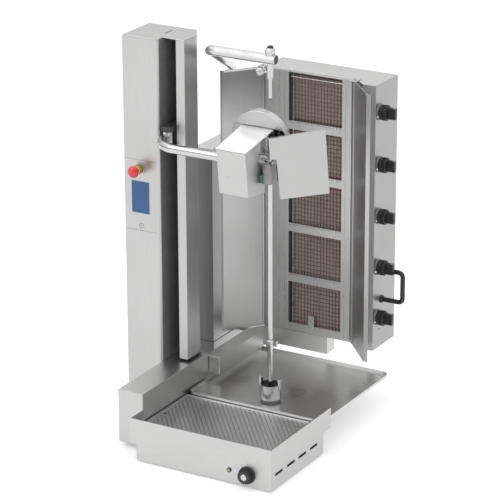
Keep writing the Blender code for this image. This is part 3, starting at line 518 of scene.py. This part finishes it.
# ---- base ----
def dress_base():
    paint(STEEL["x"], "front_panel", bevel=0.0007)
    paint(STEEL["y"], "side_panel", bevel=0.0007)
    paint(SHADED_WELL_STEEL, "base_tub", bevel=0.0004)
    # The cabinet inside the base is painted near black so the side slots look dark: painted shade.
    paint(COAT_AND_PAINTED_SHADE, "base_cabinet", bevel=0.0004)
    paint(STEEL["y"], "plinth", bevel=0.0012)
    paint(RUBBER, "foot_1", "foot_2", "foot_3", bevel=0.0006)
    paint(PAN, "drip_pan", bevel=0.0012)
    paint(STEEL["y"], "rear_frame", bevel=0.001)


def dress_column():
    paint(STEEL["z"], "column_box", "rail_cover", bevel=0.0008)
    paint(STEEL["y"], "column_cap", bevel=0.0006)
    paint(COAT_AND_PAINTED_SHADE, "lift_carriage", "lift_motor", bevel=0.0008)
    paint(BRIGHT, "guide_rod")
    paint(SCREEN, "screen", bevel=0.0003)
    paint(YELLOW, "estop_base")
    paint(RED, "estop_button")
    paint(LAMP, "pilot_lamp")
    paint(BLACK, "thermostat_knob")
    paint_faces("column_box", SLOT, lambda at, n: n.x > SQUARE)
    slot_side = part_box("lift_carriage")[1].x + 0.003
    paint_faces("rail_cover", SLOT, lambda at, n: n.x < -SQUARE or at.x < slot_side
                or (n.y < -SQUARE and at.y > 0.0))
    dial = middle_of("thermostat_knob")
    paint_faces("thermostat_knob", CHROME, lambda at, n: n.y < -LEANING
                and math.hypot(at.x - dial.x, at.z - dial.z) < DIAL_CAP_RADIUS)
    lamp = middle_of("pilot_lamp")
    paint_faces("pilot_lamp", BLACK,
                lambda at, n: math.hypot(at.x - lamp.x, at.z - lamp.z) > LAMP_LENS_RADIUS)
    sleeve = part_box("column_box")[0].y - 0.0090
    paint_faces("estop_base", STEEL["z"], lambda at, n: at.y > sleeve)


def dress_pillar():
    paint(STEEL["z"], "pillar", "pillar_base", bevel=0.0012)
    # The front faces of the pillar and its foot box are painted near black: painted shade and reflection.
    paint_faces("pillar", PAINTED_SHADE_STEEL, lambda at, n: n.y < -SQUARE)
    paint_faces("pillar", BEAM, lambda at, n: n.z > SQUARE)
    paint_faces("pillar_base", PAINTED_SHADE_STEEL, lambda at, n: n.y < -SQUARE)
    paint(CHROME, "upper_arm", "slicer_arm", "lock_pin", "pin_clamp_knob")
    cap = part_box("lock_pin")[1].z - 0.007
    paint_faces("lock_pin", BLACK, lambda at, n: at.z > cap)
    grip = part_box("pin_clamp_knob")[0].x + 0.011
    half = middle_of("pin_clamp_knob").z
    paint_faces("pin_clamp_knob", BLACK, lambda at, n: at.x < grip and at.z < half)


def dress_head():
    paint(STEEL["z"], "head_box", "side_shield", bevel=0.0008)
    paint(SHEEN_WHITE_STEEL, "head_lid")
    paint(GUARD, "blade_guard", bevel=0.0004)
    paint(BRIGHT, "thumb_screw", bevel=0.0004)
    paint(CHROME, "blade")
    paint(COAT_AND_PAINTED_SHADE, "blade_motor")
    paint(LENS_BODY, "camera_dome")
    brow = middle_of("camera_dome").z + 0.004
    paint_faces("camera_dome", LENS_GREEN, lambda at, n: n.x < -0.2 and n.y < -0.1 and at.z < brow)


def dress_spit():
    paint(CHROME, "spit_rod", "meat_support", "drive_cup")
    paint(BRASS, "spit_gear", "motor_pinion")
    paint(COAT_AND_PAINTED_SHADE, "spit_motor")
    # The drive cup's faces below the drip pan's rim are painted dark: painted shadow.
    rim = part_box("drip_pan")[1].z + 0.001
    paint_faces("drive_cup", JOINT_SHADOW, lambda at, n: at.z < rim)


def dress_housing():
    paint(SHADED_FLANK_STEEL, "housing_case", bevel=0.001)
    paint(STEEL["z"], "burner_frame", bevel=0.0006)
    paint(WING, "left_wing", bevel=0.0006)
    # The right wing is painted in the darker steel as shade; its front lip keeps the plain steel.
    paint(GREY_STEEL_AND_SHADE, "right_wing", bevel=0.0006)
    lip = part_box("right_wing")[0].y + 0.003
    paint_faces("right_wing", STEEL["z"], lambda at, n: at.y < lip and n.y < -LEANING)
    # Only the housing's front and roof get the plain steel; its sides keep the darker copy as painted shade.
    paint_faces("housing_case", STEEL["x"], lambda at, n: n.y < -SLANTED or n.z > SQUARE)
    paint(BEAM, "cross_beam", "slide_beam", bevel=0.001)
    paint(TILE, *[f"burner_{n}" for n in BURNERS], bevel=0.0006)
    paint(BRASS, "gas_manifold")
    paint(BLACK, *[f"gas_knob_{n}" for n in BURNERS], bevel=0.0005)
    paint(BLACK, "pull_handle")


# ---- small parts the CAD leaves out ----
def tray_holes(low, high):
    """Staggered rows of small holes, kept clear of the two lifting holes."""
    middle = (low.y + high.y) / 2
    lifts = (low.x + LIFT_HOLE_INSET, high.x - LIFT_HOLE_INSET)
    holes = []
    row = 0
    y = low.y + HOLE_START
    while y < high.y - HOLE_END:
        x = low.x + HOLE_START + (HOLE_STEP_X / 2 if row % 2 else 0.0)
        while x < high.x - HOLE_END:
            if all(math.hypot(x - lift, y - middle) > LIFT_HOLE_LAND for lift in lifts):
                holes.append(circle(x, y, HOLE_RADIUS, 8))
            x += HOLE_STEP_X
        y += HOLE_STEP_Y
        row += 1
    holes += [circle(lift, middle, LIFT_HOLE_RADIUS, 16) for lift in lifts]
    return holes


def add_tray():
    """Perforated plate with a turned lip, on the tray's own skirt."""
    low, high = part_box("crumb_tray")
    edge = TRAY_EDGE
    outline = [(low.x + edge, low.y + edge), (high.x - edge, low.y + edge),
               (high.x - edge, high.y - edge), (low.x + edge, high.y - edge)]
    plate = plate_mesh(outline, tray_holes(low, high), high.z - TRAY_DROP, TRAY_SHEET)
    walls = [box_mesh((low.x, low.y, low.z), (low.x + edge, high.y, high.z)),
             box_mesh((high.x - edge, low.y, low.z), (high.x, high.y, high.z)),
             box_mesh((low.x + edge, low.y, low.z), (high.x - edge, low.y + edge, high.z)),
             box_mesh((low.x + edge, high.y - edge, low.z), (high.x - edge, high.y, high.z))]
    tray = finish_mesh("perforated_tray", merge([plate] + walls), TRAY, "crumb_tray", 0.0)
    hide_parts("crumb_tray")


def add_base_details():
    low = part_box("thermostat_knob")[0]
    middle = middle_of("thermostat_knob")
    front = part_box("front_panel")[0].y
    ticks = []
    for k in range(DIAL_TICKS):
        angle = math.radians(DIAL_START_DEGREES - DIAL_STEP_DEGREES * k)
        tick = box_mesh((-0.0006, -0.0002, 0.0285), (0.0006, 0.0006, 0.0325))
        tick.transform(Matrix.Translation((middle.x, front, middle.z))
                       @ Matrix.Rotation(math.pi / 2 - angle, 4, "Y"))
        ticks.append(tick)
    finish_mesh("dial_scale", merge(ticks), GREY_PRINT, "frame")
    ridges = []
    for k in range(DIAL_RIDGES):
        ridge = box_mesh((-0.0011, -0.0140, 0.0185), (0.0011, 0.0, 0.0202))
        ridge.transform(Matrix.Translation((middle.x, low.y + 0.0155, middle.z))
                        @ Matrix.Rotation(math.tau * k / DIAL_RIDGES, 4, "Y"))
        ridges.append(ridge)
    finish_mesh("dial_ridges", merge(ridges), BLACK, "thermostat_knob", 0.0004)
    low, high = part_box("side_panel")
    for name, y in (("front", low.y + 0.010), ("rear", high.y - 0.012)):
        screws(f"panel_screw_{name}", [(high.x, y, high.z - 0.014)], (1, 0, 0), 0.0022, BRIGHT, "frame")


def add_column_marks():
    """The seams in the column's front sheet and a plain start mark without text."""
    low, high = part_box("column_box")
    front = low.y
    for n, z in enumerate(COLUMN_JOINTS, 1):
        bar(f"column_joint_{n}", (low.x + 0.0005, front - 0.00012, z - 0.0004),
            (high.x - 0.009, front + 0.0005, z + 0.0004), JOINT_SHADOW, "frame", 0.0)
    middle = Vector((low.x + START_MARK_INSET, front, START_MARK_Z))
    ring = [(0.0066, 0.0), (0.0066, 0.0003), (0.0078, 0.0003), (0.0078, 0.0)]
    turned("start_ring", ring, GREY_PRINT, "frame", facing((0, -1, 0), middle))
    bar("start_mark", (middle.x - 0.0006, front - 0.0003, middle.z - 0.001),
        (middle.x + 0.0006, front, middle.z + 0.0045), GREY_PRINT, "frame", 0.0)
    bar("start_line", (middle.x - 0.0068, front - 0.0003, middle.z - 0.0150),
        (middle.x + 0.0068, front, middle.z - 0.0132), GREY_PRINT, "frame", 0.0)


def add_screen_rim():
    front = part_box("column_box")[0].y
    low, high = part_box("screen")
    wide = SCREEN_RIM
    rim = []
    for a, b in (((low.x - wide, low.z - wide), (low.x, high.z + wide)),
                 ((high.x, low.z - wide), (high.x + wide, high.z + wide)),
                 ((low.x, low.z - wide), (high.x, low.z)),
                 ((low.x, high.z), (high.x, high.z + wide))):
        rim.append(box_mesh((a[0], front - 0.0016, a[1]), (b[0], front, b[1])))
    finish_mesh("screen_rim", merge(rim), GREY_PRINT, "frame", 0.0)


def add_stop_rings():
    """Two black rings on the emergency stop's sleeve and three arrows on its button."""
    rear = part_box("estop_base")[1].y
    centre = middle_of("estop_base")
    place = facing((0, -1, 0), (centre.x, rear, centre.z))
    collar = [(0.0126, 0.0102), (0.0133, 0.0108), (0.0133, 0.0150), (0.0126, 0.0156)]
    turned("estop_collar", collar, BLACK, "frame", place)
    ring = [(0.0121, 0.0192), (0.0131, 0.0196), (0.0131, 0.0226), (0.0121, 0.0232)]
    turned("estop_ring", ring, BLACK, "frame", place)
    arrows = []
    for k in range(3):
        arc = [Vector((0.0112 * math.cos(a), 0.0, 0.0112 * math.sin(a)))
               for a in [math.tau * k / 3 + 0.16 * step for step in range(9)]]
        arrows.append(tube_mesh(arc, 0.0007, 6))
    whole = merge(arrows)
    whole.transform(Matrix.Translation((centre.x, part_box("estop_button")[0].y + 0.0034, centre.z)))
    finish_mesh("estop_arrows", whole, RED_DARK, "estop_button", 0.0, True)


def add_column_rear():
    """The back of the column: cover, a black sheet behind it as painted shade, screws, louvres and a blanked
    cable gland.
    """
    low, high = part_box("column_box")
    back = high.y
    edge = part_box("rail_cover")[1].x - COVER_INSET
    outline = [(low.x + 0.012, COVER_LOW), (edge, COVER_LOW),
               (edge, COVER_HIGH), (low.x + 0.012, COVER_HIGH)]
    louvres = [slot_loop((low.x + edge) / 2, start + LOUVRE_STEP * k, LOUVRE_LONG, LOUVRE_WIDE)
               for start in LOUVRE_STARTS for k in range(LOUVRE_COUNT)]
    cover = plate_mesh(outline, louvres, 0.0, COVER_SHEET)
    cover.transform(Matrix.Translation((0, back + COVER_STAND, 0))
                    @ Matrix.Rotation(math.pi / 2, 4, "X") @ Matrix.Scale(-1, 4, (0, 0, 1)))
    finish_mesh("column_cover", cover, STEEL["z"], "frame")
    # A black sheet behind the louvres stands for the shade inside the column.
    bar("column_cover_shade_sheet", (low.x + 0.020, back, COVER_LOW + 0.010),
        (edge - 0.008, back + 0.0002, COVER_HIGH - 0.010), BLACK, "frame", 0.0)
    spots = [(x, back + COVER_STAND, z) for x in (low.x + 0.018, edge - 0.006)
             for z in (0.070, 0.400, 0.740, 1.080)]
    screws("column_cover_screws", spots, (0, 1, 0), 0.0030, BRIGHT, "frame")
    gland = [(0, 0.010), (0.004, 0.010), (0.0045, 0.011), (0.0075, 0.010), (0.0085, 0.004),
             (0.012, 0.004), (0.012, 0.0), (0, 0.0)]
    place = facing((0, 1, 0), (low.x + 0.060, back + COVER_STAND, 0.110))
    turned("cable_gland", gland, BLACK, "frame", place)


def add_carriage_details():
    low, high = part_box("lift_carriage")
    clamp = [(0.0060, 0.0), (0.0060, 0.004), (0.0120, 0.004), (0.0130, 0.003), (0.0130, 0.0)]
    at = ((low.x + high.x) / 2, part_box("guide_rod")[0].y + 0.006, high.z)
    turned("carriage_bush", clamp, BRIGHT, "lift_carriage", facing((0, 0, 1), at))


def blade_place():
    """The frame on the blade's joint: X along world X, Y along the axis away from the front."""
    centre, axis = joint_at("blade_spin")
    if axis.y < 0:
        axis = -axis
    side = Vector((1, 0, 0))
    place = Matrix((side, axis, side.cross(axis))).transposed().to_4x4()
    place.translation = centre
    return place


def add_guard_details():
    place = blade_place()
    turns = [math.radians(a) for a in range(8, 193, 4)]
    arc = [Vector((GUARD_RIM_RADIUS * math.cos(a), 0.0, GUARD_RIM_RADIUS * math.sin(a))) for a in turns]
    rim = tube_mesh(arc, GUARD_RIM_THICK, 10)
    rim.transform(place)
    finish_mesh("guard_rim", rim, CHROME, "slicer_head", 0.0, True)
    outline = [(-0.0832, 0.016), (0.046, 0.016), (0.046, 0.0405), (-0.0742, 0.0405)]
    sheet = plate_mesh(outline, [], 0.0, 0.0018)
    sheet.transform(place @ Matrix.Rotation(math.pi / 2, 4, "X") @ Matrix.Translation((0, 0, 0.0022)))
    finish_mesh("guard_bracket", sheet, GUARD, "slicer_head", 0.0004)
    fold = box_mesh((-0.050, -0.0028, 0.0402), (0.046, 0.0002, 0.0411))
    fold.transform(place)
    finish_mesh("guard_fold", fold, JOINT_SHADOW, "slicer_head", 0.0)
    heads = merge([screw_mesh((x, -0.0022, 0.0340), (0, -1, 0), 0.0026) for x in (-0.036, 0.010)])
    heads.transform(place)
    finish_mesh("guard_screws", heads, BRIGHT, "slicer_head", 0.0, True)
    # A black sheet inside the guard's opening: painted shade.
    shade = box_mesh((0.034, 0.0145, -0.004), (0.081, 0.0165, 0.036))
    shade.transform(place)
    finish_mesh("guard_opening_shade", shade, BLACK, "slicer_head", 0.0005)
    dots = []
    for ring_radius, count, size in ((0.030, 6, 0.0035), (0.045, 10, 0.0022)):
        profile = [(0, 0.0006), (size, 0.0004), (size, 0.0), (0, 0.0)]
        for a in [math.tau * k / count for k in range(count)]:
            at = (ring_radius * math.cos(a), 0.0099, ring_radius * math.sin(a))
            dots.append(turned_mesh(profile, 12, facing((0, -1, 0), at)))
    spots = merge(dots)
    spots.transform(place)
    finish_mesh("blade_spots", spots, GREY_STEEL_AND_SHADE, "blade", 0.0, True)


def add_head_strip():
    """The studded strip on the head's right edge, and a rivet in its front."""
    low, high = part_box("head_box")
    front = -0.0975
    strip = box_mesh((high.x + 0.0008, front, low.z + 0.112),
                     (high.x + 0.0128, front + 0.002, high.z + 0.006))
    finish_mesh("edge_strip", strip, BRIGHT, "slicer_head", 0.0004)
    spots = [(high.x + 0.0068, front, low.z + 0.118 + STUD_STEP * k) for k in range(STUD_COUNT)]
    screws("edge_strip_studs", spots, (0, -1, 0), 0.0042, CHROME, "slicer_head")
    spots = [(low.x + 0.030, low.y + 0.0085, 0.797)]
    screws("head_rivet", spots, (0, -1, 0), 0.0012, GREY_STEEL_AND_SHADE, "slicer_head")


def add_arm_details():
    low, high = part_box("upper_arm")
    end = [(0, 0.0006), (0.0110, 0.0004), (0.0125, 0.0), (0, 0.0)]
    turned("arm_end_cap", end, COAT_AND_PAINTED_SHADE, "upper_arm",
           facing((1, 0, 0), (high.x, middle_of("lock_pin").y, 1.0915)))
    base = [(0.0150, 0.0), (0.0150, 0.006), (0.0185, 0.0055), (0.0215, 0.002), (0.0215, 0.0)]
    post, _ = joint_at("upper_arm_swing")
    turned("post_collar", base, CHROME, "frame", facing((0, 0, 1), (post.x, post.y, low.z)))


def add_burner_mesh():
    """Wire mesh in front of the burners, with a black gasket and brighter rods at its edges."""
    left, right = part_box("burner_1")[0].x + 0.004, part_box("burner_1")[1].x - 0.004
    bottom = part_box("burner_1")[0].z
    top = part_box("housing_case")[1].z
    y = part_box("burner_1")[0].y - MESH_GAP
    wires = []
    x = left + 0.017
    while x < right - 0.002:
        route = [Vector((x, y, bottom + 0.002)), Vector((x, y, top - 0.008))]
        wires.append(tube_mesh(route, WIRE_THICK_UPRIGHT, 6))
        x += MESH_STEP_X
    z = bottom + 0.008
    while z < top - 0.010:
        route = [Vector((left, y + 0.0016, z)), Vector((right, y + 0.0016, z))]
        wires.append(tube_mesh(route, WIRE_THICK_CROSS, 6))
        z += MESH_STEP_Z
    finish_mesh("burner_mesh", merge(wires), WIRE, "housing", 0.0, True)
    bar("burner_gasket", (left - 0.0005, y - 0.0016, bottom + 0.002),
        (left + 0.0080, y + 0.0026, top - 0.008), BLACK, "housing")
    rod = left + 0.0105
    route = [Vector((rod, y - 0.002, bottom + 0.003)), Vector((rod, y - 0.002, top - 0.009))]
    finish_mesh("upright_wire", tube_mesh(route, 0.0012, 8), BRIGHT, "housing", 0.0, True)
    route = [Vector((left + 0.004, y - 0.003, TOP_WIRE_Z)), Vector((right, y - 0.003, TOP_WIRE_Z))]
    finish_mesh("top_wire", tube_mesh(route, 0.0016, 8), BRIGHT, "housing", 0.0, True)
    gauze = box_mesh((left, y + 0.004, TOP_GAUZE_Z), (right, y + 0.0045, top - 0.004))
    finish_mesh("top_gauze", gauze, GAUZE, "housing", 0.0)


def add_frame_details():
    """Fold lines, clips and rivets on the bars between the burners, and clips on the roof."""
    low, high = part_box("housing_case")
    frame_low, frame_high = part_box("burner_frame")
    front = frame_low.y
    left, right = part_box("burner_1")[0].x + 0.004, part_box("burner_1")[1].x - 0.004
    clips, dots, lines = [], [], []
    for n in BURNERS[1:]:
        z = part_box(f"burner_{n}")[0].z + 0.004
        lines.append(box_mesh((left, front - 0.0012, z - 0.0052), (right, front, z - 0.0036)))
        for x in (left + 0.022, (left + right) / 2, right - 0.020):
            clips.append(box_mesh((x - 0.0020, front - 0.0022, z - 0.0100), (x + 0.0020, front, z - 0.0010)))
            dots.append(screw_mesh((x + 0.012, front, z - 0.0150), (0, -1, 0), 0.0015))
    finish_mesh("bar_lines", merge(lines), GREY_STEEL_AND_SHADE, "housing", 0.0003)
    finish_mesh("bar_clips", merge(clips), BRIGHT, "housing", 0.0003)
    finish_mesh("bar_rivets", merge(dots), GREY_STEEL_AND_SHADE, "housing", 0.0, True)
    folds = [box_mesh((x, front - 0.0012, frame_low.z + 0.002), (x + 0.0012, front, frame_high.z - 0.002))
             for x in (left - 0.0132, left - 0.0322, right + 0.0105)]
    finish_mesh("frame_folds", merge(folds), BRIGHT, "housing", 0.0004)
    tabs = [box_mesh((x - 0.0045, low.y + 0.0278, high.z), (x + 0.0045, low.y + 0.0300, high.z + 0.0022))
            for x in (left + 0.004, left + 0.108, right + 0.036)]
    finish_mesh("roof_clips", merge(tabs), MARK, "housing", 0.0004)
    bar("upright_tab", (0.034, front - 0.0030, 0.180), (0.054, front - 0.0002, 0.223),
        BRIGHT, "housing", 0.0008)


def add_wing_details():
    """A hinge plate and pin over each wing's axis, and a folded hem along its top."""
    low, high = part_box("housing_case")
    tips = {"right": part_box("right_wing")[1].x - 0.0113, "left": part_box("left_wing")[0].x + 0.0062}
    for name, tip_x in tips.items():
        body = f"{name}_wing"
        at, _ = joint_at(f"{body}_fold")
        plate = box_mesh((at.x - 0.012, at.y - 0.011, high.z + 0.0004),
                         (at.x + 0.012, low.y + 0.036, high.z + 0.0022))
        finish_mesh(f"hinge_plate_{name}", plate, BRIGHT, "housing", 0.0005)
        pin = [(0, 0.0042), (0.0030, 0.0040), (0.0034, 0.0), (0, 0.0)]
        turned(f"hinge_pin_{name}", pin, CHROME, "housing", facing((0, 0, 1), (at.x, at.y, high.z + 0.0018)))
        wing_low, wing_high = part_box(body)
        tip = Vector((tip_x, wing_low.y + 0.0012, 0))
        hinge = Vector((at.x, at.y, 0))
        along = (tip - hinge).normalized()
        start, end = hinge + along * 0.014, tip - along * 0.004
        half = Vector((-along.y, along.x, 0)) * 0.0022
        outline = [(corner.x, corner.y) for corner in (start - half, end - half, end + half, start + half)]
        hem = plate_mesh(outline, [], wing_high.z, 0.0060)
        finish_mesh(f"wing_hem_{name}", hem, BRIGHT, body, 0.0005)


def add_knob_details(n):
    """One gas knob's bezel, index dot, ribs and pointer."""
    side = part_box("housing_case")[1].x
    knob = f"gas_knob_{n}"
    at, _ = joint_at(f"{knob}_turn")
    bezel = [(0.0200, 0.0), (0.0200, 0.0050), (0.0215, 0.0048), (0.0238, 0.0022), (0.0242, 0.0)]
    turned(f"knob_bezel_{n}", bezel, BEZEL, "housing", facing((1, 0, 0), (side, at.y, at.z)))
    dot = [(0, 0.0014), (0.0018, 0.0011), (0.0030, 0.0), (0, 0.0)]
    place = facing((0.6, -0.75, -0.35), (side + 0.0042, at.y - 0.0198, at.z - 0.0092))
    turned(f"knob_dot_{n}", dot, MARK, "housing", place)
    ribs = []
    for k in range(KNOB_RIBS):
        rib = box_mesh((side + 0.0125, -0.0012, 0.0200), (side + 0.0255, 0.0012, 0.0222))
        rib.transform(Matrix.Translation((0, at.y, at.z)) @ Matrix.Rotation(math.tau * k / KNOB_RIBS, 4, "X"))
        ribs.append(rib)
    finish_mesh(f"knob_ribs_{n}", merge(ribs), BLACK, knob, 0.0004)
    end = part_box(knob)[1].x
    bar(f"knob_pointer_{n}", (end - 0.010, at.y - 0.0008, at.z + 0.0150),
        (end - 0.0003, at.y + 0.0008, at.z + 0.0163), MARK, knob, 0.0002)


def add_side_details():
    """Bosses under the pull handle's feet, a small mark beside it, and the gas inlet below."""
    low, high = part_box("housing_case")
    side = high.x
    handle_low, handle_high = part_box("pull_handle")
    middle_y = middle_of("pull_handle").y
    boss = [(0.0072, 0.0), (0.0072, 0.006), (0.0095, 0.0055), (0.0115, 0.003), (0.0115, 0.0)]
    for name, z in (("low", handle_low.z + 0.007), ("high", handle_high.z - 0.007)):
        turned(f"handle_boss_{name}", boss, BLACK, "housing", facing((1, 0, 0), (side, middle_y, z)))
    bar("side_mark", (side, middle_y - 0.0150, 0.2150), (side + 0.0003, middle_y - 0.0085, 0.2205),
        GREY_PRINT, "housing", 0.0)
    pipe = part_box("gas_manifold")[0]
    inlet = [(0, 0.0), (0.008, 0.0), (0.008, -0.010), (0.0115, -0.011), (0.0115, -0.020), (0.0085, -0.021),
             (0.0085, -0.030), (0.005, -0.030), (0.005, -0.012), (0, -0.012)]
    place = facing((0, 0, 1), (pipe.x + 0.0087, pipe.y + 0.0087, low.z))
    turned("gas_inlet", inlet, GREY_STEEL_AND_SHADE, "housing", place, 24)


def add_beam_details():
    """Tabs on the cross beam in near white steel, a painted highlight, and the seam round the pillar's foot
    box.
    """
    low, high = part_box("cross_beam")
    # Two thin tabs on the beam's top edge, near white as a painted highlight.
    tabs = [box_mesh((start, low.y + 0.004, high.z), (end, low.y + 0.020, high.z + 0.0003))
            for start, end in ((-0.074, -0.030), (0.031, 0.064))]
    finish_mesh("beam_tab_highlights", merge(tabs), SHEEN_WHITE_STEEL, "housing")
    pillar_low, pillar_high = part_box("pillar")
    low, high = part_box("pillar_base")
    bar("pillar_seam", (pillar_low.x - 0.0004, low.y - 0.0004, high.z - 0.0014),
        (high.x + 0.0003, pillar_high.y + 0.0004, high.z - 0.0001), SEAM_DARK, "frame", 0.0)


def add_beam_screws():
    low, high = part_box("slide_beam")
    spots = [(high.x - 0.010 - 0.026 * k, low.y, low.z + 0.026) for k in range(2)]
    screws("beam_screws", spots, (0, -1, 0), 0.0022, GREY_STEEL_AND_SHADE, "frame")


def add_side_louvres():
    """A tilted fin and a lip in each slot of the base's side panel."""
    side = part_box("side_panel")[1].x
    fins = []
    for middle in FIN_MIDDLES:
        fin = box_mesh((-0.0003, -FIN_HALF, -0.0052), (0.0003, FIN_HALF, 0.0052))
        fin.transform(Matrix.Translation((side - 0.0042, middle, FIN_Z)) @ Matrix.Rotation(FIN_TILT, 4, "Y"))
        fins.append(fin)
        fins.append(box_mesh((side - 0.0020, middle - 0.0210, 0.0496),
                             (side - 0.0001, middle + 0.0210, 0.0505)))
    finish_mesh("louvre_fins", merge(fins), STEEL["y"], "frame", 0.0002)


# ---- floor, light, camera ----
def make_floor():
    bm = bmesh.new()
    bmesh.ops.create_grid(bm, x_segments=1, y_segments=1, size=40.0)
    mesh = bpy.data.meshes.new("floor")
    bm.to_mesh(mesh)
    bm.free()
    floor = bpy.data.objects.new("floor", mesh)
    floor.location.z = -0.0002
    bpy.context.scene.collection.objects.link(floor)
    mat, tree, shader = new_material("pale floor")
    shader.inputs["Base Color"].default_value = (0.62, 0.62, 0.62, 1)
    shader.inputs["Emission Color"].default_value = (1.0, 1.0, 1.0, 1)
    shader.inputs["Emission Strength"].default_value = 0.42
    shader.inputs["Roughness"].default_value = 0.9
    shader.inputs["Specular IOR Level"].default_value = 0.1
    mesh.materials.append(mat)


def make_world():
    world = bpy.data.worlds.new("studio")
    bpy.context.scene.world = world
    bpy.context.scene.view_settings.view_transform = "Standard"
    world.use_nodes = True
    tree = world.node_tree
    back = tree.nodes["Background"]
    where = add(tree, "ShaderNodeTexCoord")
    parts = add(tree, "ShaderNodeSeparateXYZ")
    ramp = add(tree, "ShaderNodeValToRGB")
    ramp.color_ramp.elements[0].position = 0.0
    ramp.color_ramp.elements[0].color = (0.30, 0.30, 0.30, 1)
    ramp.color_ramp.elements[1].position = 1.0
    ramp.color_ramp.elements[1].color = (1.0, 1.0, 1.0, 1)
    for place, level in ((0.10, 0.34), (0.24, 0.56), (0.42, 0.62), (0.60, 0.95)):
        stop = ramp.color_ramp.elements.new(place)
        stop.color = (level, level, level, 1)
    tree.links.new(where.outputs["Generated"], parts.inputs[0])
    tree.links.new(parts.outputs["Z"], ramp.inputs["Fac"])
    tree.links.new(ramp.outputs["Color"], back.inputs["Color"])
    back.inputs["Strength"].default_value = 1.5


def make_light(name, at, target, size, power):
    data = bpy.data.lights.new(name, "AREA")
    data.shape = "RECTANGLE"
    data.size = size[0]
    data.size_y = size[1]
    data.energy = power
    lamp = bpy.data.objects.new(name, data)
    lamp.location = at
    lamp.rotation_euler = (Vector(target) - Vector(at)).to_track_quat("-Z", "Y").to_euler()
    bpy.context.scene.collection.objects.link(lamp)


def make_camera():
    data = bpy.data.cameras.new("camera")
    data.lens = CAMERA_LENS
    data.sensor_width = CAMERA_SENSOR
    data.clip_end = 200.0
    camera = bpy.data.objects.new("camera", data)
    bpy.context.scene.collection.objects.link(camera)
    a, e, r = CAMERA_AZIMUTH, CAMERA_ELEVATION, CAMERA_ROLL
    back = Vector((math.sin(a) * math.cos(e), -math.cos(a) * math.cos(e), math.sin(e)))
    right = Vector((math.cos(a), math.sin(a), 0))
    up = back.cross(right)
    right, up = (math.cos(r) * right + math.sin(r) * up, math.cos(r) * up - math.sin(r) * right)
    turn = Matrix((right, up, back)).transposed().to_4x4()
    camera.matrix_world = Matrix.Translation(CAMERA_AT) @ turn
    bpy.context.scene.camera = camera


dress_base()
dress_column()
dress_pillar()
dress_head()
dress_spit()
dress_housing()
add_tray()
add_base_details()
add_column_marks()
add_screen_rim()
add_stop_rings()
add_column_rear()
add_carriage_details()
add_guard_details()
add_head_strip()
add_arm_details()
add_burner_mesh()
add_frame_details()
add_wing_details()
for number in BURNERS:
    add_knob_details(number)
add_side_details()
add_beam_details()
add_side_louvres()
add_beam_screws()
make_floor()
make_world()
make_light("key", (-2.5, -4.0, 4.5), (0.0, 0.0, 0.5), (3.0, 3.0), 60.0)
make_camera()
